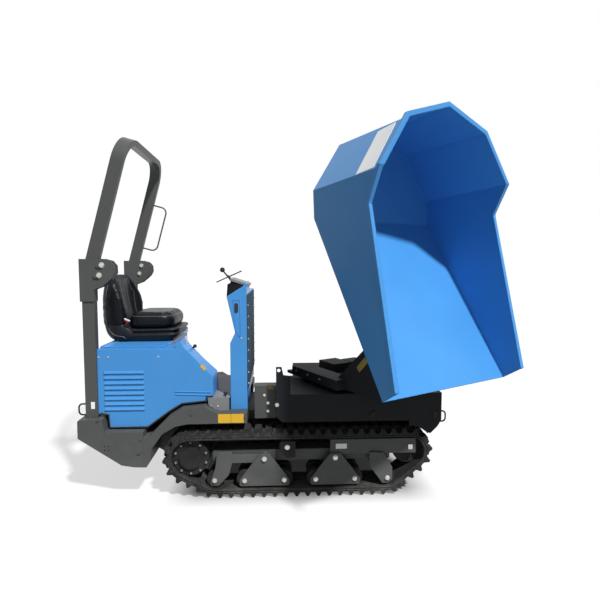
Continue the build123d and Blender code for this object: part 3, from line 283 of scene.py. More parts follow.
def finish(name, colour, roughness, skin, grain, bump, wear, dust, dust_top, gleam, rounding,
           metal=0.0, coat=0.0, worn=BARE_STEEL, reach=0.003, depth=0.0008):
    """Material of one finish: a skin, worn edges and dust over a base colour."""
    colour = getattr(colours(), colour) if isinstance(colour, str) else linear(*colour)
    wear, dust = wear * sizes().edge_wear, dust * sizes().dustiness
    made = bpy.data.materials.new(name)
    tree, out = bare_tree(made, "ShaderNodeOutputMaterial")
    surface = put(tree, "ShaderNodeGroup", {"node_tree": GROUPS[skin]}, i0=grain)
    shade = surface.outputs["Shade"]
    grey = got(tree, "ShaderNodeCombineColor", Red=shade, Green=shade, Blue=shade)
    tone = put(tree, "ShaderNodeMix", {"data_type": "RGBA", "blend_type": "MULTIPLY"},
               i0=1.0, i6=(*colour, 1), i7=grey).outputs[2]
    rough = ramp(tree, shade, *SHADE_SPAN, *(min(1, roughness * s) for s in ROUGH_SHARES))
    layers = []
    if wear:
        mask = got(tree, "ShaderNodeGroup", {"node_tree": GROUPS["worn_edges"]}, Reach=reach)
        layers.append((math_node(tree, "MULTIPLY", mask, wear, True), worn, WORN_ROUGHNESS))
    if dust:
        mask = got(tree, "ShaderNodeGroup", {"node_tree": GROUPS["settled_dust"]},
                   Amount=dust, Top=dust_top)
        layers.append((mask, colours().dust, DUST_ROUGHNESS))
    for mask, over, over_rough in layers:
        tone = put(tree, "ShaderNodeMix", {"data_type": "RGBA"},
                   i0=mask, i6=tone, i7=(*over, 1)).outputs[2]
        rough = got(tree, "ShaderNodeMix", {"data_type": "FLOAT"},
                    i0=mask, i2=rough, i3=over_rough)
    relief = put(tree, "ShaderNodeBump", Strength=bump, Distance=depth,
                 Height=surface.outputs["Height"])
    if rounding:
        soft = got(tree, "ShaderNodeBevel", {"samples": 4}, Radius=rounding)
        tree.links.new(soft, relief.inputs["Normal"])
    shader = got(tree, "ShaderNodeBsdfPrincipled", Base_Color=tone, Roughness=rough,
                 Metallic=metal, Coat_Weight=coat, Coat_Roughness=COAT_ROUGHNESS,
                 Specular_IOR_Level=gleam, Normal=relief.outputs[0])
    tree.links.new(shader, out.inputs[0])
    return made


PAINT, CAST, HIDE = SKINS
# finishes by name: colour property or chart colour, roughness, skin, its scale, bump, share of
# the wear, share of the dust, height that the dust reaches, gleam and rounding of the edges
FINISHES = {
    "blue_gloss": ("blue", 0.34, PAINT, 420, 0.12, 0.5, 0.3, 1.2, 0.2, 0.007),
    "warm_grey": ("frame_grey", 0.5, PAINT, 300, 0.16, 1, 1, 0.7, 0.25, 0.005),
    "hoop_grey": ("frame_grey", 0.38, PAINT, 420, 0.1, 0.5, 0, 0.6, 0.25, 0.006),
    # the front anthracite is darker than its paint: painted shade of the skip
    "front_anthracite": ("front_grey", 0.6, PAINT, 420, 0.14, 1, 0.4, 0.8, 0.1, 0.004),
    "guard_grey": ((46, 70, 88), 0.75, PAINT, 420, 0.2, 1, 0, 0.6, 0.08, 0),
    "step_grey": ((128, 130, 131), 0.5, PAINT, 300, 0.14, 1, 0.5, 0.9, 0.25, 0.004),
    "cast_iron": ((38, 38, 39), 0.58, CAST, 260, 0.4, 0.5, 0.6, 0.5, 0.15, 0),
    "zinc_plate": ((205, 203, 194), 0.3, CAST, 500, 0.08, 0, 0.4, 0.6, 0.5, 0),
    "chrome_rod": ((214, 216, 218), 0.12, PAINT, 420, 0.03, 0, 0, 0.6, 0.5, 0),
    "moulded_black": ((26, 27, 31), 0.4, CAST, 700, 0.15, 0, 0.1, 1.6, 0.25, 0),
    "moulded_black_rough": ((24, 26, 30), 0.7, CAST, 800, 0.2, 0, 0, 0.6, 0.1, 0),
    "track_rubber": ("rubber", 0.78, CAST, 220, 0.35, 1.4, 1, 0.5, 0.12, 0),
    "seat_vinyl": ("seat_black", 0.34, HIDE, 520, 0.22, 0, 0.05, 2.0, 0.13, 0),
    # the piping's light grey stands in for highlights along the seams: painted highlight on real
    # beads
    "seat_piping": ((84, 86, 90), 0.35, CAST, 900, 0.1, 0, 0, 0.6, 0.5, 0),
    "seal_black": ((20, 20, 21), 0.7, CAST, 500, 0.2, 0, 0, 0.6, 0.5, 0),
    "buckle_red": ((170, 24, 26), 0.4, PAINT, 420, 0.05, 0, 0, 0.6, 0.5, 0),
    "plate_yellow": ("plate_yellow", 0.38, PAINT, 420, 0.05, 0, 0, 0.6, 0.5, 0),
    # the plates' yellow darkened as painted shade, with dust over it
    "plate_ochre": ((150, 128, 46), 0.6, PAINT, 420, 0.1, 0, 1, 1.5, 0.5, 0),
    "plate_white": ((246, 247, 248), 0.38, PAINT, 420, 0.05, 0, 0, 0.6, 0.5, 0),
}
# what a few finishes have besides
EXTRAS = {
    "blue_gloss": {"coat": 0.03, "worn": linear(120, 160, 205), "reach": 0.002},
    "zinc_plate": {"metal": 0.85},
    "chrome_rod": {"metal": 1.0},
    "track_rubber": {"worn": linear(122, 120, 114), "reach": 0.006},
    "seat_vinyl": {"depth": 0.0006},
    "plate_yellow": {"coat": 0.2},
    "plate_white": {"coat": 0.2},
}
# CAD nodes by finish, with those that a modelled piece stands in for; a star is for both sides
NODE_FINISHES = {
    "blue_gloss": "engine_hood console seat_plate skip skip_brackets",
    "warm_grey": "counterweight main_frame valve_box fender_* roll_bar_post_* roller_plates_* "
                 "track_frame_*",
    "step_grey": "footboard",
    "hoop_grey": "roll_bar_hoop grab_handle",
    # these nodes take the anthracite darkened by painted shade of the skip
    "front_anthracite": "front_frame lifting_plates slewing_ring swivel_base tip_arm_* "
                        "ram_barrel tie_down_rings",
    "guard_grey": "console_guard",
    "cast_iron": "engine_block carrier_roller_* idler_* sprocket_* track_rollers_*",
    "chrome_rod": "ram_rod",
    "moulded_black": "ball_lever cross_lever seat_suspension",
    "moulded_black_rough": "dash_panel",
    "track_rubber": "track_*",
    "seat_vinyl": "seat_cushion seat_back",
}


class DUMPER_OT_finishes(bpy.types.Operator):
    """Makes every finish and gives it to the frame's nodes"""

    bl_idname = "dumper.finishes"
    bl_label = "Finishes"

    def execute(self, context):
        for tree in (build_worn_edges(), build_settled_dust(), *map(build_skin, SKINS)):
            GROUPS[tree.name] = tree
        for name, row in FINISHES.items():
            MATERIALS[name] = finish(name, *row, **EXTRAS.get(name, {}))
        for name, words in NODE_FINISHES.items():
            for word in words.split():
                for side in SIDES if "*" in word else ("",):
                    slots = NODES[word.replace("*", side)].data.materials
                    slots.clear()
                    slots.append(MATERIALS[name])
        return {"FINISHED"}


# ---- mesh helpers ----


def linked(name, data):
    """New object in the scene for a mesh, a curve, a light or a camera."""
    made = bpy.data.objects.new(name, data)
    bpy.context.scene.collection.objects.link(made)
    return made


def new_piece(name, mesh, look, smooth=True):
    """Object for a finished mesh; its look is a finish, the body that it rides on and a slot."""
    finish_name, body, slot = look
    piece = linked(name, mesh)
    mesh.materials.clear()
    mesh.materials.append(MATERIALS[finish_name])
    mesh.polygons.foreach_set("use_smooth", [smooth] * len(mesh.polygons))
    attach(piece, body)
    return piece


def mesh_of(name, points, faces):
    """Mesh from points and faces, doubles merged and faces turned outwards."""
    mesh = bpy.data.meshes.new(name)
    mesh.from_pydata([tuple(p) for p in points], [], faces)
    tidy = bmesh.new()
    tidy.from_mesh(mesh)
    bmesh.ops.remove_doubles(tidy, verts=tidy.verts, dist=1e-6)
    bmesh.ops.recalc_face_normals(tidy, faces=tidy.faces)
    tidy.to_mesh(mesh)
    tidy.free()
    return mesh


def side_faces(first, count, rings):
    """Faces round stacked rings of points."""
    return [(low + i, low + (i + 1) % count, low + count + (i + 1) % count, low + count + i)
            for low in range(first, first + (rings - 1) * count, count) for i in range(count)]


def capped_faces(first, count, rings):
    """Faces round stacked rings of points, closed by a flat face at each end."""
    last = first + (rings - 1) * count
    return side_faces(first, count, rings) + [
        tuple(range(first + count - 1, first - 1, -1)), tuple(range(last, last + count))]


def stacked_rings(name, rings, low_pole, high_pole):
    """Closed skin over rings of equal length, with a pole at each end."""
    count = len(rings[0])
    points = [p for ring in rings for p in ring] + [low_pole, high_pole]
    faces = side_faces(0, count, len(rings))
    last, pole = (len(rings) - 1) * count, len(rings) * count
    for i in range(count):
        j = (i + 1) % count
        faces += [(i, j, pole), (last + i, last + j, pole + 1)]
    return mesh_of(name, points, faces)


def shown(piece):
    """Object with its modifiers, as it is drawn."""
    bpy.context.view_layer.update()
    return piece.evaluated_get(bpy.context.evaluated_depsgraph_get())


def evaluated(source, name):
    """Plain mesh of an object with its modifiers; the object itself is removed."""
    mesh = bpy.data.meshes.new_from_object(shown(source))
    mesh.name = name
    bpy.data.objects.remove(source)
    return mesh


def bevelled_lines(name, lines, radius, *look, resolution=3):
    """Round beads along lines of points; a line whose ends meet is closed."""
    curve = bpy.data.curves.new(name, "CURVE")
    curve.dimensions, curve.bevel_depth, curve.bevel_resolution = "3D", radius, resolution
    curve.use_fill_caps = True
    for line in lines:
        closed = (Vector(line[0]) - Vector(line[-1])).length < 1e-6
        line = line[:-1] if closed else line
        spline = curve.splines.new("POLY")
        spline.points.add(len(line) - 1)
        for point, place in zip(spline.points, line):
            point.co = (*place, 1)
        spline.use_cyclic_u = closed
    return new_piece(name, evaluated(linked(name, curve), name), look)


SURFACES = {}


def face_at(start, direction, nodes):
    """Place and outward normal where a ray first meets the named nodes."""
    best = None
    for name in nodes:
        if name not in SURFACES:
            mesh = NODES[name].data
            SURFACES[name] = BVHTree.FromPolygons(
                [v.co for v in mesh.vertices], [tuple(p.vertices) for p in mesh.polygons])
        place, normal, _, distance = SURFACES[name].ray_cast(Vector(start), Vector(direction))
        if place and (best is None or distance < best[0]):
            best = (distance, place, normal)
    if best is None:
        raise ValueError(f"no surface along a ray from {tuple(start)}")
    return best[1], best[2]


# chassis nodes that are seen as they are
SOLID_NODES = [name for name in BODY_NODES["chassis"] if name not in ("track_left", "track_right")]
# places outside the machine that rays start from
BESIDE, ABOVE = 3.0, 2.0


def side_place(x, z, sign, nodes=SOLID_NODES):
    """Place on the chassis where its outer face is met from one side."""
    return face_at((x, sign * BESIDE, z), (0, -sign, 0), nodes)[0]


def under(x, y, nodes):
    """Place and normal where the named nodes are met from above."""
    return face_at((x, y, ABOVE), (0, 0, -1), nodes)


# the swing frame rests turned to the right about its upright axis
SWING_AXIS = Vector((0.294, 0.0, 0.0))
SWING_FORWARD = Vector((0.4955, -0.8686, 0.0))
SWING_LEFT = Vector((0.8686, 0.4955, 0.0))
UP = Vector((0.0, 0.0, 1.0))


def swung(forward, left, z):
    """World place of a point in the swing frame at rest."""
    return SWING_AXIS + forward * SWING_FORWARD + left * SWING_LEFT + z * UP


TURNED_SIDES, TURNED_SHARP = 20, radians(35)


def turned(name, parts, *look):
    """Lathe-turned forms in one piece: place, axis and a profile of radius and height each."""
    points, faces = [], []
    for place, axis, profile in parts:
        turn = Vector(axis).to_track_quat("Z", "Y")
        faces += capped_faces(len(points), TURNED_SIDES, len(profile))
        for radius, height in profile:
            for i in range(TURNED_SIDES):
                angle = 2 * pi * i / TURNED_SIDES
                spot = Vector((radius * cos(angle), radius * sin(angle), height))
                points.append(Vector(place) + turn @ spot)
    piece = new_piece(name, mesh_of(name, points, faces), look)
    piece.data.set_sharp_from_angle(angle=TURNED_SHARP)
    return piece


def cards(name, rows, *look, thickness=0.0015, corner=0.004):
    """Flat plates with round corners in one piece: middle, across, up, width and height each."""
    points, faces = [], []
    for middle, across, up, width, height in rows:
        across, up = Vector(across).normalized(), Vector(up).normalized()
        out, outline = across.cross(up), []
        for sx, sy, start in ((1, 1, 0), (-1, 1, 1), (-1, -1, 2), (1, -1, 3)):
            for k in range(5):
                angle = (start + k / 4) * pi / 2
                outline.append((sx * (width / 2 - corner) + corner * cos(angle),
                                sy * (height / 2 - corner) + corner * sin(angle)))
        faces += capped_faces(len(points), len(outline), 3)
        for lift, shrink in ((-thickness, 0.0), (thickness * 0.7, 0.0), (thickness, 0.0005)):
            wide, high = 1 - shrink * 2 / width, 1 - shrink * 2 / height
            points += [Vector(middle) + across * (a * wide) + up * (b * high) + out * lift
                       for a, b in outline]
    return new_piece(name, mesh_of(name, points, faces), look, smooth=False)


# ---- geometry trees ----


def joined(tree, sockets):
    """Geometry of several sockets in one."""
    node = tree.nodes.new("GeometryNodeJoinGeometry")
    for socket in sockets:
        tree.links.new(socket, node.inputs[0])
    return node.outputs[0]


def finished(tree, start, end, geometry):
    """Ends a tree with its finish on plain geometry."""
    done = got(tree, "GeometryNodeSetMaterial", Geometry=geometry,
               Material=start.outputs["Finish"])
    tree.links.new(done, end.inputs[0])
    return tree


def grown(name, mesh, tree, values, *look):
    """Runs a geometry tree on a mesh and keeps the result as a plain mesh piece."""
    source = linked(name, mesh)
    modifier = source.modifiers.new(tree.name, "NODES")
    modifier.node_group = tree
    values = {**values, "Finish": MATERIALS[look[0]]}
    for item in tree.interface.items_tree:
        if item.in_out == "INPUT" and item.name in values:
            modifier[item.identifier] = values[item.name]
    return new_piece(name, evaluated(source, name), look, smooth=False)


# ---- rubber tracks ----
# wheels that the belt runs round, counter-clockwise from the right: x, z, radius
BELT_WHEELS = ((-0.544, 0.114, 0.054), (0.599, 0.114, 0.054), (0.742, 0.292, 0.100),
               (-0.700, 0.266, 0.122))
TRACK_MIDDLE_Y, TRACK_WIDTH = 0.390, 0.250
PATH_STEP = 0.02


def belt_path(height):
    """Closed line round the wheels at a height above the belt's inner face."""
    following = BELT_WHEELS[1:] + BELT_WHEELS[:1]
    normals = [atan2(nz - z, nx - x) - acos((r - nr) / hypot(nx - x, nz - z))
               for (x, z, r), (nx, nz, nr) in zip(BELT_WHEELS, following)]
    path = []
    for i, ((x, z, r), (nx, nz, nr)) in enumerate(zip(BELT_WHEELS, following)):
        turn = (normals[i] - normals[i - 1]) % (2 * pi)
        parts = max(2, ceil((r + height) * turn / PATH_STEP))
        for k in range(parts + 1):
            angle = normals[i - 1] + turn * k / parts
            path.append((x + (r + height) * cos(angle), 0.0, z + (r + height) * sin(angle)))
        start = path[-1]
        end = (nx + (nr + height) * cos(normals[i]), 0.0, nz + (nr + height) * sin(normals[i]))
        parts = max(1, ceil(hypot(end[0] - start[0], end[2] - start[2]) / PATH_STEP))
        for k in range(1, parts):
            path.append(tuple(a + (b - a) * k / parts for a, b in zip(start, end)))
    return path


def loop_mesh(name, path):
    """Closed line of edges."""
    mesh = bpy.data.meshes.new(name)
    mesh.from_pydata(path, [(i, (i + 1) % len(path)) for i in range(len(path))], [])
    return mesh


# pairs of blocks at the belt's edges and near its middle: their distance from the middle,
# length across the belt, base and tip along the belt, end slope
EDGE_BLOCKS = 0.091, 0.068, 0.046, 0.014, 0.010
INNER_BLOCKS = 0.036, 0.076, 0.064, 0.040, 0.014


def lug_blocks(tree, pair, lug_height):
    """Pair of tapered rubber blocks about one point of the belt."""
    y, length, base, tip, end_slope = pair
    blocks = []
    for sign in SIDES.values():
        cube = got(tree, "GeometryNodeMeshCube")
        place = got(tree, "GeometryNodeInputPosition")
        split = put(tree, "ShaderNodeSeparateXYZ", Vector=place).outputs
        high = ramp(tree, split["Z"], -0.5, 0.5)
        width = ramp(tree, high, 0.0, 1.0, base, tip)
        long_side = ramp(tree, high, 0.0, 1.0, length, length - end_slope)
        across = math_node(tree, "MULTIPLY", split["Y"], long_side)
        shaped = got(tree, "ShaderNodeCombineXYZ",
                     X=math_node(tree, "MULTIPLY", split["X"], width),
                     Y=math_node(tree, "ADD", across, sign * y),
                     Z=math_node(tree, "MULTIPLY", high, lug_height))
        blocks.append(got(tree, "GeometryNodeSetPosition", Geometry=cube,
                          Position=shaped))
    return joined(tree, blocks)


def build_track_tree():
    """Belt swept round the path, with staggered lugs outside."""
    tree, start, end = new_tree("track_loop", "GeometryNodeTree", [
        ("Geometry", "Geometry"), ("Rib", "Object"), ("Lug count", "Int", 60),
        ("Lug height", "Float", 0.034), ("Middle", "Float", 0.39), ("Finish", "Material"),
    ], [("Geometry", "Geometry")])
    line = got(tree, "GeometryNodeMeshToCurve", Mesh=start.outputs["Geometry"])
    rib = put(tree, "GeometryNodeObjectInfo", Object=start.outputs["Rib"]).outputs["Geometry"]
    section = got(tree, "GeometryNodeMeshToCurve", Mesh=rib)
    sweep = got(tree, "GeometryNodeCurveToMesh", Curve=line, Profile_Curve=section)
    tangent = got(tree, "GeometryNodeInputTangent")
    outward = got(tree, "ShaderNodeVectorMath", {"operation": "CROSS_PRODUCT"},
                  i0=(0.0, 1.0, 0.0), i1=tangent)
    turn = got(tree, "FunctionNodeAxesToRotation", {"primary_axis": "Z", "secondary_axis": "X"},
               i0=outward, i1=tangent)
    # edge blocks sit on every even point, inner blocks on every odd one
    count = math_node(tree, "MULTIPLY", start.outputs["Lug count"], 2.0)
    spaced = got(tree, "GeometryNodeResampleCurve", Curve=line, Count=count)
    odd = math_node(tree, "MODULO", got(tree, "GeometryNodeInputIndex"), 2.0)
    placed = [sweep]
    for pair, remainder in ((EDGE_BLOCKS, 0.0), (INNER_BLOCKS, 1.0)):
        chosen = got(tree, "FunctionNodeCompare", {"data_type": "FLOAT", "operation": "EQUAL"},
                     i0=odd, i1=remainder, Epsilon=0.1)
        lugs = lug_blocks(tree, pair, start.outputs["Lug height"])
        placed.append(got(tree, "GeometryNodeInstanceOnPoints", Points=spaced, Selection=chosen,
                          Instance=lugs, Rotation=turn))
    solid = got(tree, "GeometryNodeRealizeInstances", Geometry=joined(tree, placed))
    offset = got(tree, "ShaderNodeCombineXYZ", Y=start.outputs["Middle"])
    moved = got(tree, "GeometryNodeSetPosition", Geometry=solid, Offset=offset)
    return finished(tree, start, end, moved)


class DUMPER_OT_tracks(bpy.types.Operator):
    """Rubber tracks: belt with ribbed flanks, staggered lugs"""

    bl_idname = "dumper.tracks"
    bl_label = "Tracks"

    def execute(self, context):
        size, tree, half = sizes(), build_track_tree(), TRACK_WIDTH / 2
        # one flank of the belt's section: across the belt, height from its outer face
        flank = [(half - 0.004, -size.belt), (half, -size.belt + 0.004), (half, -0.016),
                 (half - 0.004, -0.013), (half - 0.004, -0.009), (half, -0.006),
                 (half - 0.003, 0.0)]
        section = [(-a, b, 0.0) for a, b in flank] + [(a, b, 0.0) for a, b in reversed(flank)]
        rib = linked("belt_section", loop_mesh("belt_section", section))
        path = belt_path(size.belt)
        length = sum((Vector(a) - Vector(b)).length for a, b in zip(path, path[1:] + path[:1]))
        for side, sign in SIDES.items():
            piece = grown("track_belt_" + side, loop_mesh("track_path_" + side, path), tree, {
                "Rib": rib, "Lug count": round(length / size.lug_pitch),
                "Lug height": size.lug_height, "Middle": sign * TRACK_MIDDLE_Y},
                "track_rubber", "chassis", "track_rubber")
            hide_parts("track_" + side)
        bpy.data.objects.remove(rib)
        return {"FINISHED"}


# ---- seat ----
# heights of the backrest: z, half width, rear x, front x of the middle, front x of the bolsters
BACK_LEVELS = (
    (1.062, 0.185, -1.318, -1.222, -1.205),
    (1.080, 0.215, -1.334, -1.226, -1.190),
    (1.120, 0.236, -1.344, -1.232, -1.180),
    (1.180, 0.241, -1.348, -1.240, -1.178),
    (1.240, 0.241, -1.350, -1.250, -1.180),
    (1.300, 0.238, -1.349, -1.260, -1.192),
    (1.360, 0.224, -1.345, -1.268, -1.214),
    (1.410, 0.205, -1.338, -1.272, -1.238),
    (1.448, 0.175, -1.326, -1.272, -1.258),
    (1.468, 0.140, -1.310, -1.275, -1.270),
)
# each table of rings has the places of its lower and upper pole
BACK_POLES = (-1.262, 0.0, 1.056), (-1.292, 0.0, 1.4745)
# cushion rings: z, rear x, front x, half width
CUSHION_LEVELS = (
    (1.088, -1.178, -0.870, 0.205), (1.093, -1.186, -0.852, 0.222), (1.110, -1.190, -0.844, 0.234),
    (1.140, -1.190, -0.842, 0.237), (1.160, -1.188, -0.846, 0.235), (1.177, -1.180, -0.856, 0.228),
    (1.190, -1.165, -0.876, 0.205), (1.194, -1.150, -0.900, 0.165), (1.193, -1.130, -0.925, 0.110),
    (1.191, -1.080, -0.980, 0.050),
)
CUSHION_POLES = (-1.03, 0.0, 1.0865), (-1.03, 0.0, 1.1905)
# bellows rings: z, rear x, front x, half width, rise towards the front
BELLOWS_LEVELS = (
    (0.991, -1.235, -0.885, 0.190, 0.0), (0.996, -1.245, -0.870, 0.199, 0.0),
    (1.015, -1.248, -0.845, 0.204, 0.0),
    (1.028, -1.250, -0.824, 0.209, 0.003), (1.042, -1.250, -0.816, 0.213, 0.004),
    (1.049, -1.238, -0.832, 0.199, 0.004), (1.055, -1.238, -0.832, 0.199, 0.005),
    (1.064, -1.252, -0.816, 0.213, 0.006), (1.078, -1.252, -0.818, 0.213, 0.006),
    (1.084, -1.240, -0.830, 0.199, 0.004), (1.088, -1.200, -0.860, 0.160, 0.0),
)
BELLOWS_POLES = (-1.03, 0.0, 0.9905), (-1.03, 0.0, 1.0885)
# moulded shell that joins the backrest and the base: z, rear x, front x, half width
PAN_LEVELS = (
    (0.996, -1.262, -1.190, 0.190), (1.000, -1.280, -1.150, 0.205), (1.012, -1.305, -1.120, 0.215),
    (1.030, -1.325, -1.100, 0.222), (1.058, -1.340, -1.110, 0.226), (1.090, -1.346, -1.140, 0.229),
    (1.120, -1.348, -1.180, 0.230), (1.135, -1.340, -1.200, 0.222),
)
PAN_POLES = (-1.225, 0.0, 0.9955), (-1.27, 0.0, 1.1365)
# how round the plans of the rings are: a low power squares them
CUSHION_POWER, BELLOWS_POWER, PAN_POWER = 0.5, 0.35, 0.45
# swelling of the pads: voxel of the even mesh, sinking first, most that a point may rise,
# pressure, length of the simulation in frames and smoothing passes
PAD_VOXEL, PAD_SHRINK, PAD_CAP, PAD_PRESSURE, PAD_FRAMES, PAD_EASING = (
    0.006, 0.003, 0.009, 4.0, 20, 3)
PIPING_RADIUS, PIPING_SUNK = 0.0026, 0.0008
RING_POINTS = 32


def back_ring(z, half, rear, middle, bolster):
    """One section of the backrest: round rear, side bolsters and a hollow front."""
    right = [
        (rear + 0.002, 0.50), (rear + 0.009, 0.85), (rear + 0.030, 0.98),
        ((rear + bolster) / 2, 1.0), (bolster - 0.018, 0.985), (bolster, 0.90),
        (bolster - 0.015, 0.74), (middle + 0.003, 0.64), (middle, 0.30),
    ]
    ring = [(rear, 0.0, z)] + [(x, half * share, z) for x, share in right]
    return ring + [(middle + 0.003, 0.0, z)] + [
        (x, -half * share, z) for x, share in reversed(right)]


def ring_at(z, x_low, x_high, half, rise, power):
    """Rounded rectangle at a height, rising towards the front."""
    middle, reach, ring = (x_low + x_high) / 2, (x_high - x_low) / 2, []
    for i in range(RING_POINTS):
        angle = 2 * pi * (i + 0.5) / RING_POINTS
        c, s = cos(angle), sin(angle)
        x = middle + copysign(reach * abs(c) ** power, c)
        ring.append((x, copysign(half * abs(s) ** power, s),
                     z + rise * (x - x_low) / (x_high - x_low)))
    return ring


def seat_shell(name, rings, poles, finish_name, slot):
    """Piece of the seat made of rings from the bottom up, with a pole at each end."""
    return new_piece(name, stacked_rings(name, rings, *poles), (finish_name, "seat_unit", slot))


def subdivided(piece, levels=2):
    """Smooths a piece by a subdivision modifier."""
    modifier = piece.modifiers.new("smooth", "SUBSURF")
    modifier.levels = modifier.render_levels = levels
    return piece


def puffed(piece):
    scene = bpy.context.scene
    remesh = piece.modifiers.new("even", "REMESH")
    remesh.mode, remesh.voxel_size, remesh.use_smooth_shade = "VOXEL", PAD_VOXEL, True
    finish_used = piece.data.materials[0]
    even = bpy.data.meshes.new_from_object(shown(piece))
    piece.modifiers.remove(remesh)
    piece.data = even
    even.materials.clear()
    even.materials.append(finish_used)
    for vertex in even.vertices:
        vertex.co -= vertex.normal * PAD_SHRINK
    start = [vertex.co.copy() for vertex in even.vertices]
    cloth = piece.modifiers.new("swell", "CLOTH")
    cloth.settings.use_pressure, cloth.settings.uniform_pressure_force = True, PAD_PRESSURE
    cloth.settings.effector_weights.gravity = 0.0
    cloth.point_cache.frame_start, cloth.point_cache.frame_end = 1, PAD_FRAMES
    for number in range(1, PAD_FRAMES + 1):
        scene.frame_set(number)
    moved = [vertex.co.copy() for vertex in shown(piece).data.vertices]
    piece.modifiers.remove(cloth)
    for vertex, old, new in zip(even.vertices, start, moved):
        step = new - old
        vertex.co = old + step * min(1.0, PAD_CAP / max(step.length, 1e-9))
    scene.frame_set(1)
    tidy = bmesh.new()
    tidy.from_mesh(even)
    for _ in range(PAD_EASING):
        bmesh.ops.smooth_vert(tidy, verts=tidy.verts, factor=0.5,
                              use_axis_x=True, use_axis_y=True, use_axis_z=True)
    tidy.to_mesh(even)
    tidy.free()
    return subdivided(piece, 1)


def surface_of(piece):
    """Search tree of a piece as it is drawn."""
    bpy.context.view_layer.update()
    return BVHTree.FromObject(piece, bpy.context.evaluated_depsgraph_get())


def seam(surface, rays):
    """Line of points where rays meet a surface, laid slightly into it."""
    points = []
    for start, direction in rays:
        place, normal = surface.ray_cast(Vector(start), Vector(direction).normalized())[:2]
        if place:
            points.append(place - normal * PIPING_SUNK)
    return points


# piping on the backrest: along the bolsters, drawn in above a height, and along the ribs
BOLSTER_Y, BOLSTER_TURN_Z, BOLSTER_TAPER, RIB_Y = 0.158, 1.32, 0.4, 0.060
# piping along the back's edge: x, drawn forwards above a height
EDGE_X, EDGE_TURN_Z, EDGE_TAPER = -1.312, 1.30, 0.10
# piping on the cushion: middle and height of the brim, line across the front
BRIM_X, BRIM_Z, BRIM_POINTS, FRONT_X = -1.015, 1.172, 72, -0.935
BUCKLE_PLACE = Vector((-1.166, -0.2485, 1.147))
# line of the piping on the pan's sides: x, z
PAN_LINE = ((-1.298, 1.090), (-1.285, 1.066), (-1.268, 1.046), (-1.245, 1.037),
            (-1.203, 1.030), (-1.183, 1.014))


class DUMPER_OT_seat(bpy.types.Operator):
    """Cushion, backrest with bolsters, moulded pan, piping, buckle and suspension bellows"""

    bl_idname = "dumper.seat"
    bl_label = "Seat"

    def execute(self, context):
        back = seat_shell("seat_back_pad", [back_ring(*level) for level in BACK_LEVELS],
                          BACK_POLES, "seat_vinyl", "seat_vinyl")
        puffed(back)
        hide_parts("seat_back")
        rings = [ring_at(*level, 0.0, CUSHION_POWER) for level in CUSHION_LEVELS]
        cushion = seat_shell("seat_cushion_pad", rings, CUSHION_POLES, "seat_vinyl", "seat_vinyl")
        puffed(cushion)
        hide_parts("seat_cushion")
        rings = [ring_at(*level, BELLOWS_POWER) for level in BELLOWS_LEVELS]
        bellows = subdivided(seat_shell("seat_bellows", rings, BELLOWS_POLES,
                                        "moulded_black", "black_plastic"))
        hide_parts("seat_suspension")
        rings = [ring_at(*level, 0.0, PAN_POWER) for level in PAN_LEVELS]
        pan = subdivided(seat_shell("seat_pan", rings, PAN_POLES,
                                    "moulded_black", "black_plastic"))
        # piping along the bolsters, the ribs and the back's edge, and on the pan's sides
        on_back, on_cushion, on_pan = surface_of(back), surface_of(cushion), surface_of(pan)
        lines, levels = [], [1.10 + 0.02 * k for k in range(17)]
        for sign in (-1.0, 1.0):
            inner = [((0.0, sign * (BOLSTER_Y - BOLSTER_TAPER * max(0.0, z - BOLSTER_TURN_Z)), z),
                      (-1, 0, 0)) for z in levels]
            outer = [((EDGE_X + EDGE_TAPER * max(0.0, z - EDGE_TURN_Z), sign * 2.0, z),
                      (0, -sign, 0)) for z in levels[1:]]
            ribs = [((0.0, sign * RIB_Y, z), (-1, 0, 0)) for z in levels[3:]]
            shell = [((x, sign * 2.0, z), (0, -sign, 0)) for x, z in PAN_LINE]
            lines += [seam(on_back, inner), seam(on_back, outer), seam(on_back, ribs),
                      seam(on_pan, shell)]
        # piping round the cushion's brim and across its front
        turns = [2 * pi * k / BRIM_POINTS for k in range(BRIM_POINTS + 1)]
        brim = seam(on_cushion, [((BRIM_X + cos(a), sin(a), BRIM_Z), (-cos(a), -sin(a), 0))
                                 for a in turns])
        lines.append(brim[:-1] + brim[:1])
        lines.append(seam(on_cushion, [((FRONT_X, y / 100, 2.0), (0, 0, -1))
                                       for y in range(-20, 21, 2)]))
        # light grey piping beads: painted highlight along the seams
        bevelled_lines("seat_piping", [line for line in lines if len(line) > 2], PIPING_RADIUS,
                       "seat_piping", "seat_unit", "seat_vinyl")
        # belt buckle beside the cushion
        along = Vector((0.045, 0.0, -0.020)).normalized()
        across = Vector((0.020, 0.0, 0.045)).normalized()
        for name, finish_name, shift, width in (("buckle_red", "buckle_red", -0.004, 0.030),
                                                ("buckle_latch", "plate_white", 0.006, 0.042)):
            plate = (BUCKLE_PLACE + across * shift, along, across, width, 0.008)
            cards(name, [plate], finish_name, "seat_unit", "black_plastic",
                  thickness=0.004, corner=0.003)
        return {"FINISHED"}


# ---- fasteners ----
# stacked discs of a bolt head of unit size: corners (none for the washer), foot radius,
# top radius, foot height, top height
BOLT_DISCS = ((None, 1.0, 0.94, -0.3, 0.16), (6, 0.82, 0.82, 0.16, 0.66),
              (6, 0.82, 0.70, 0.66, 0.78))


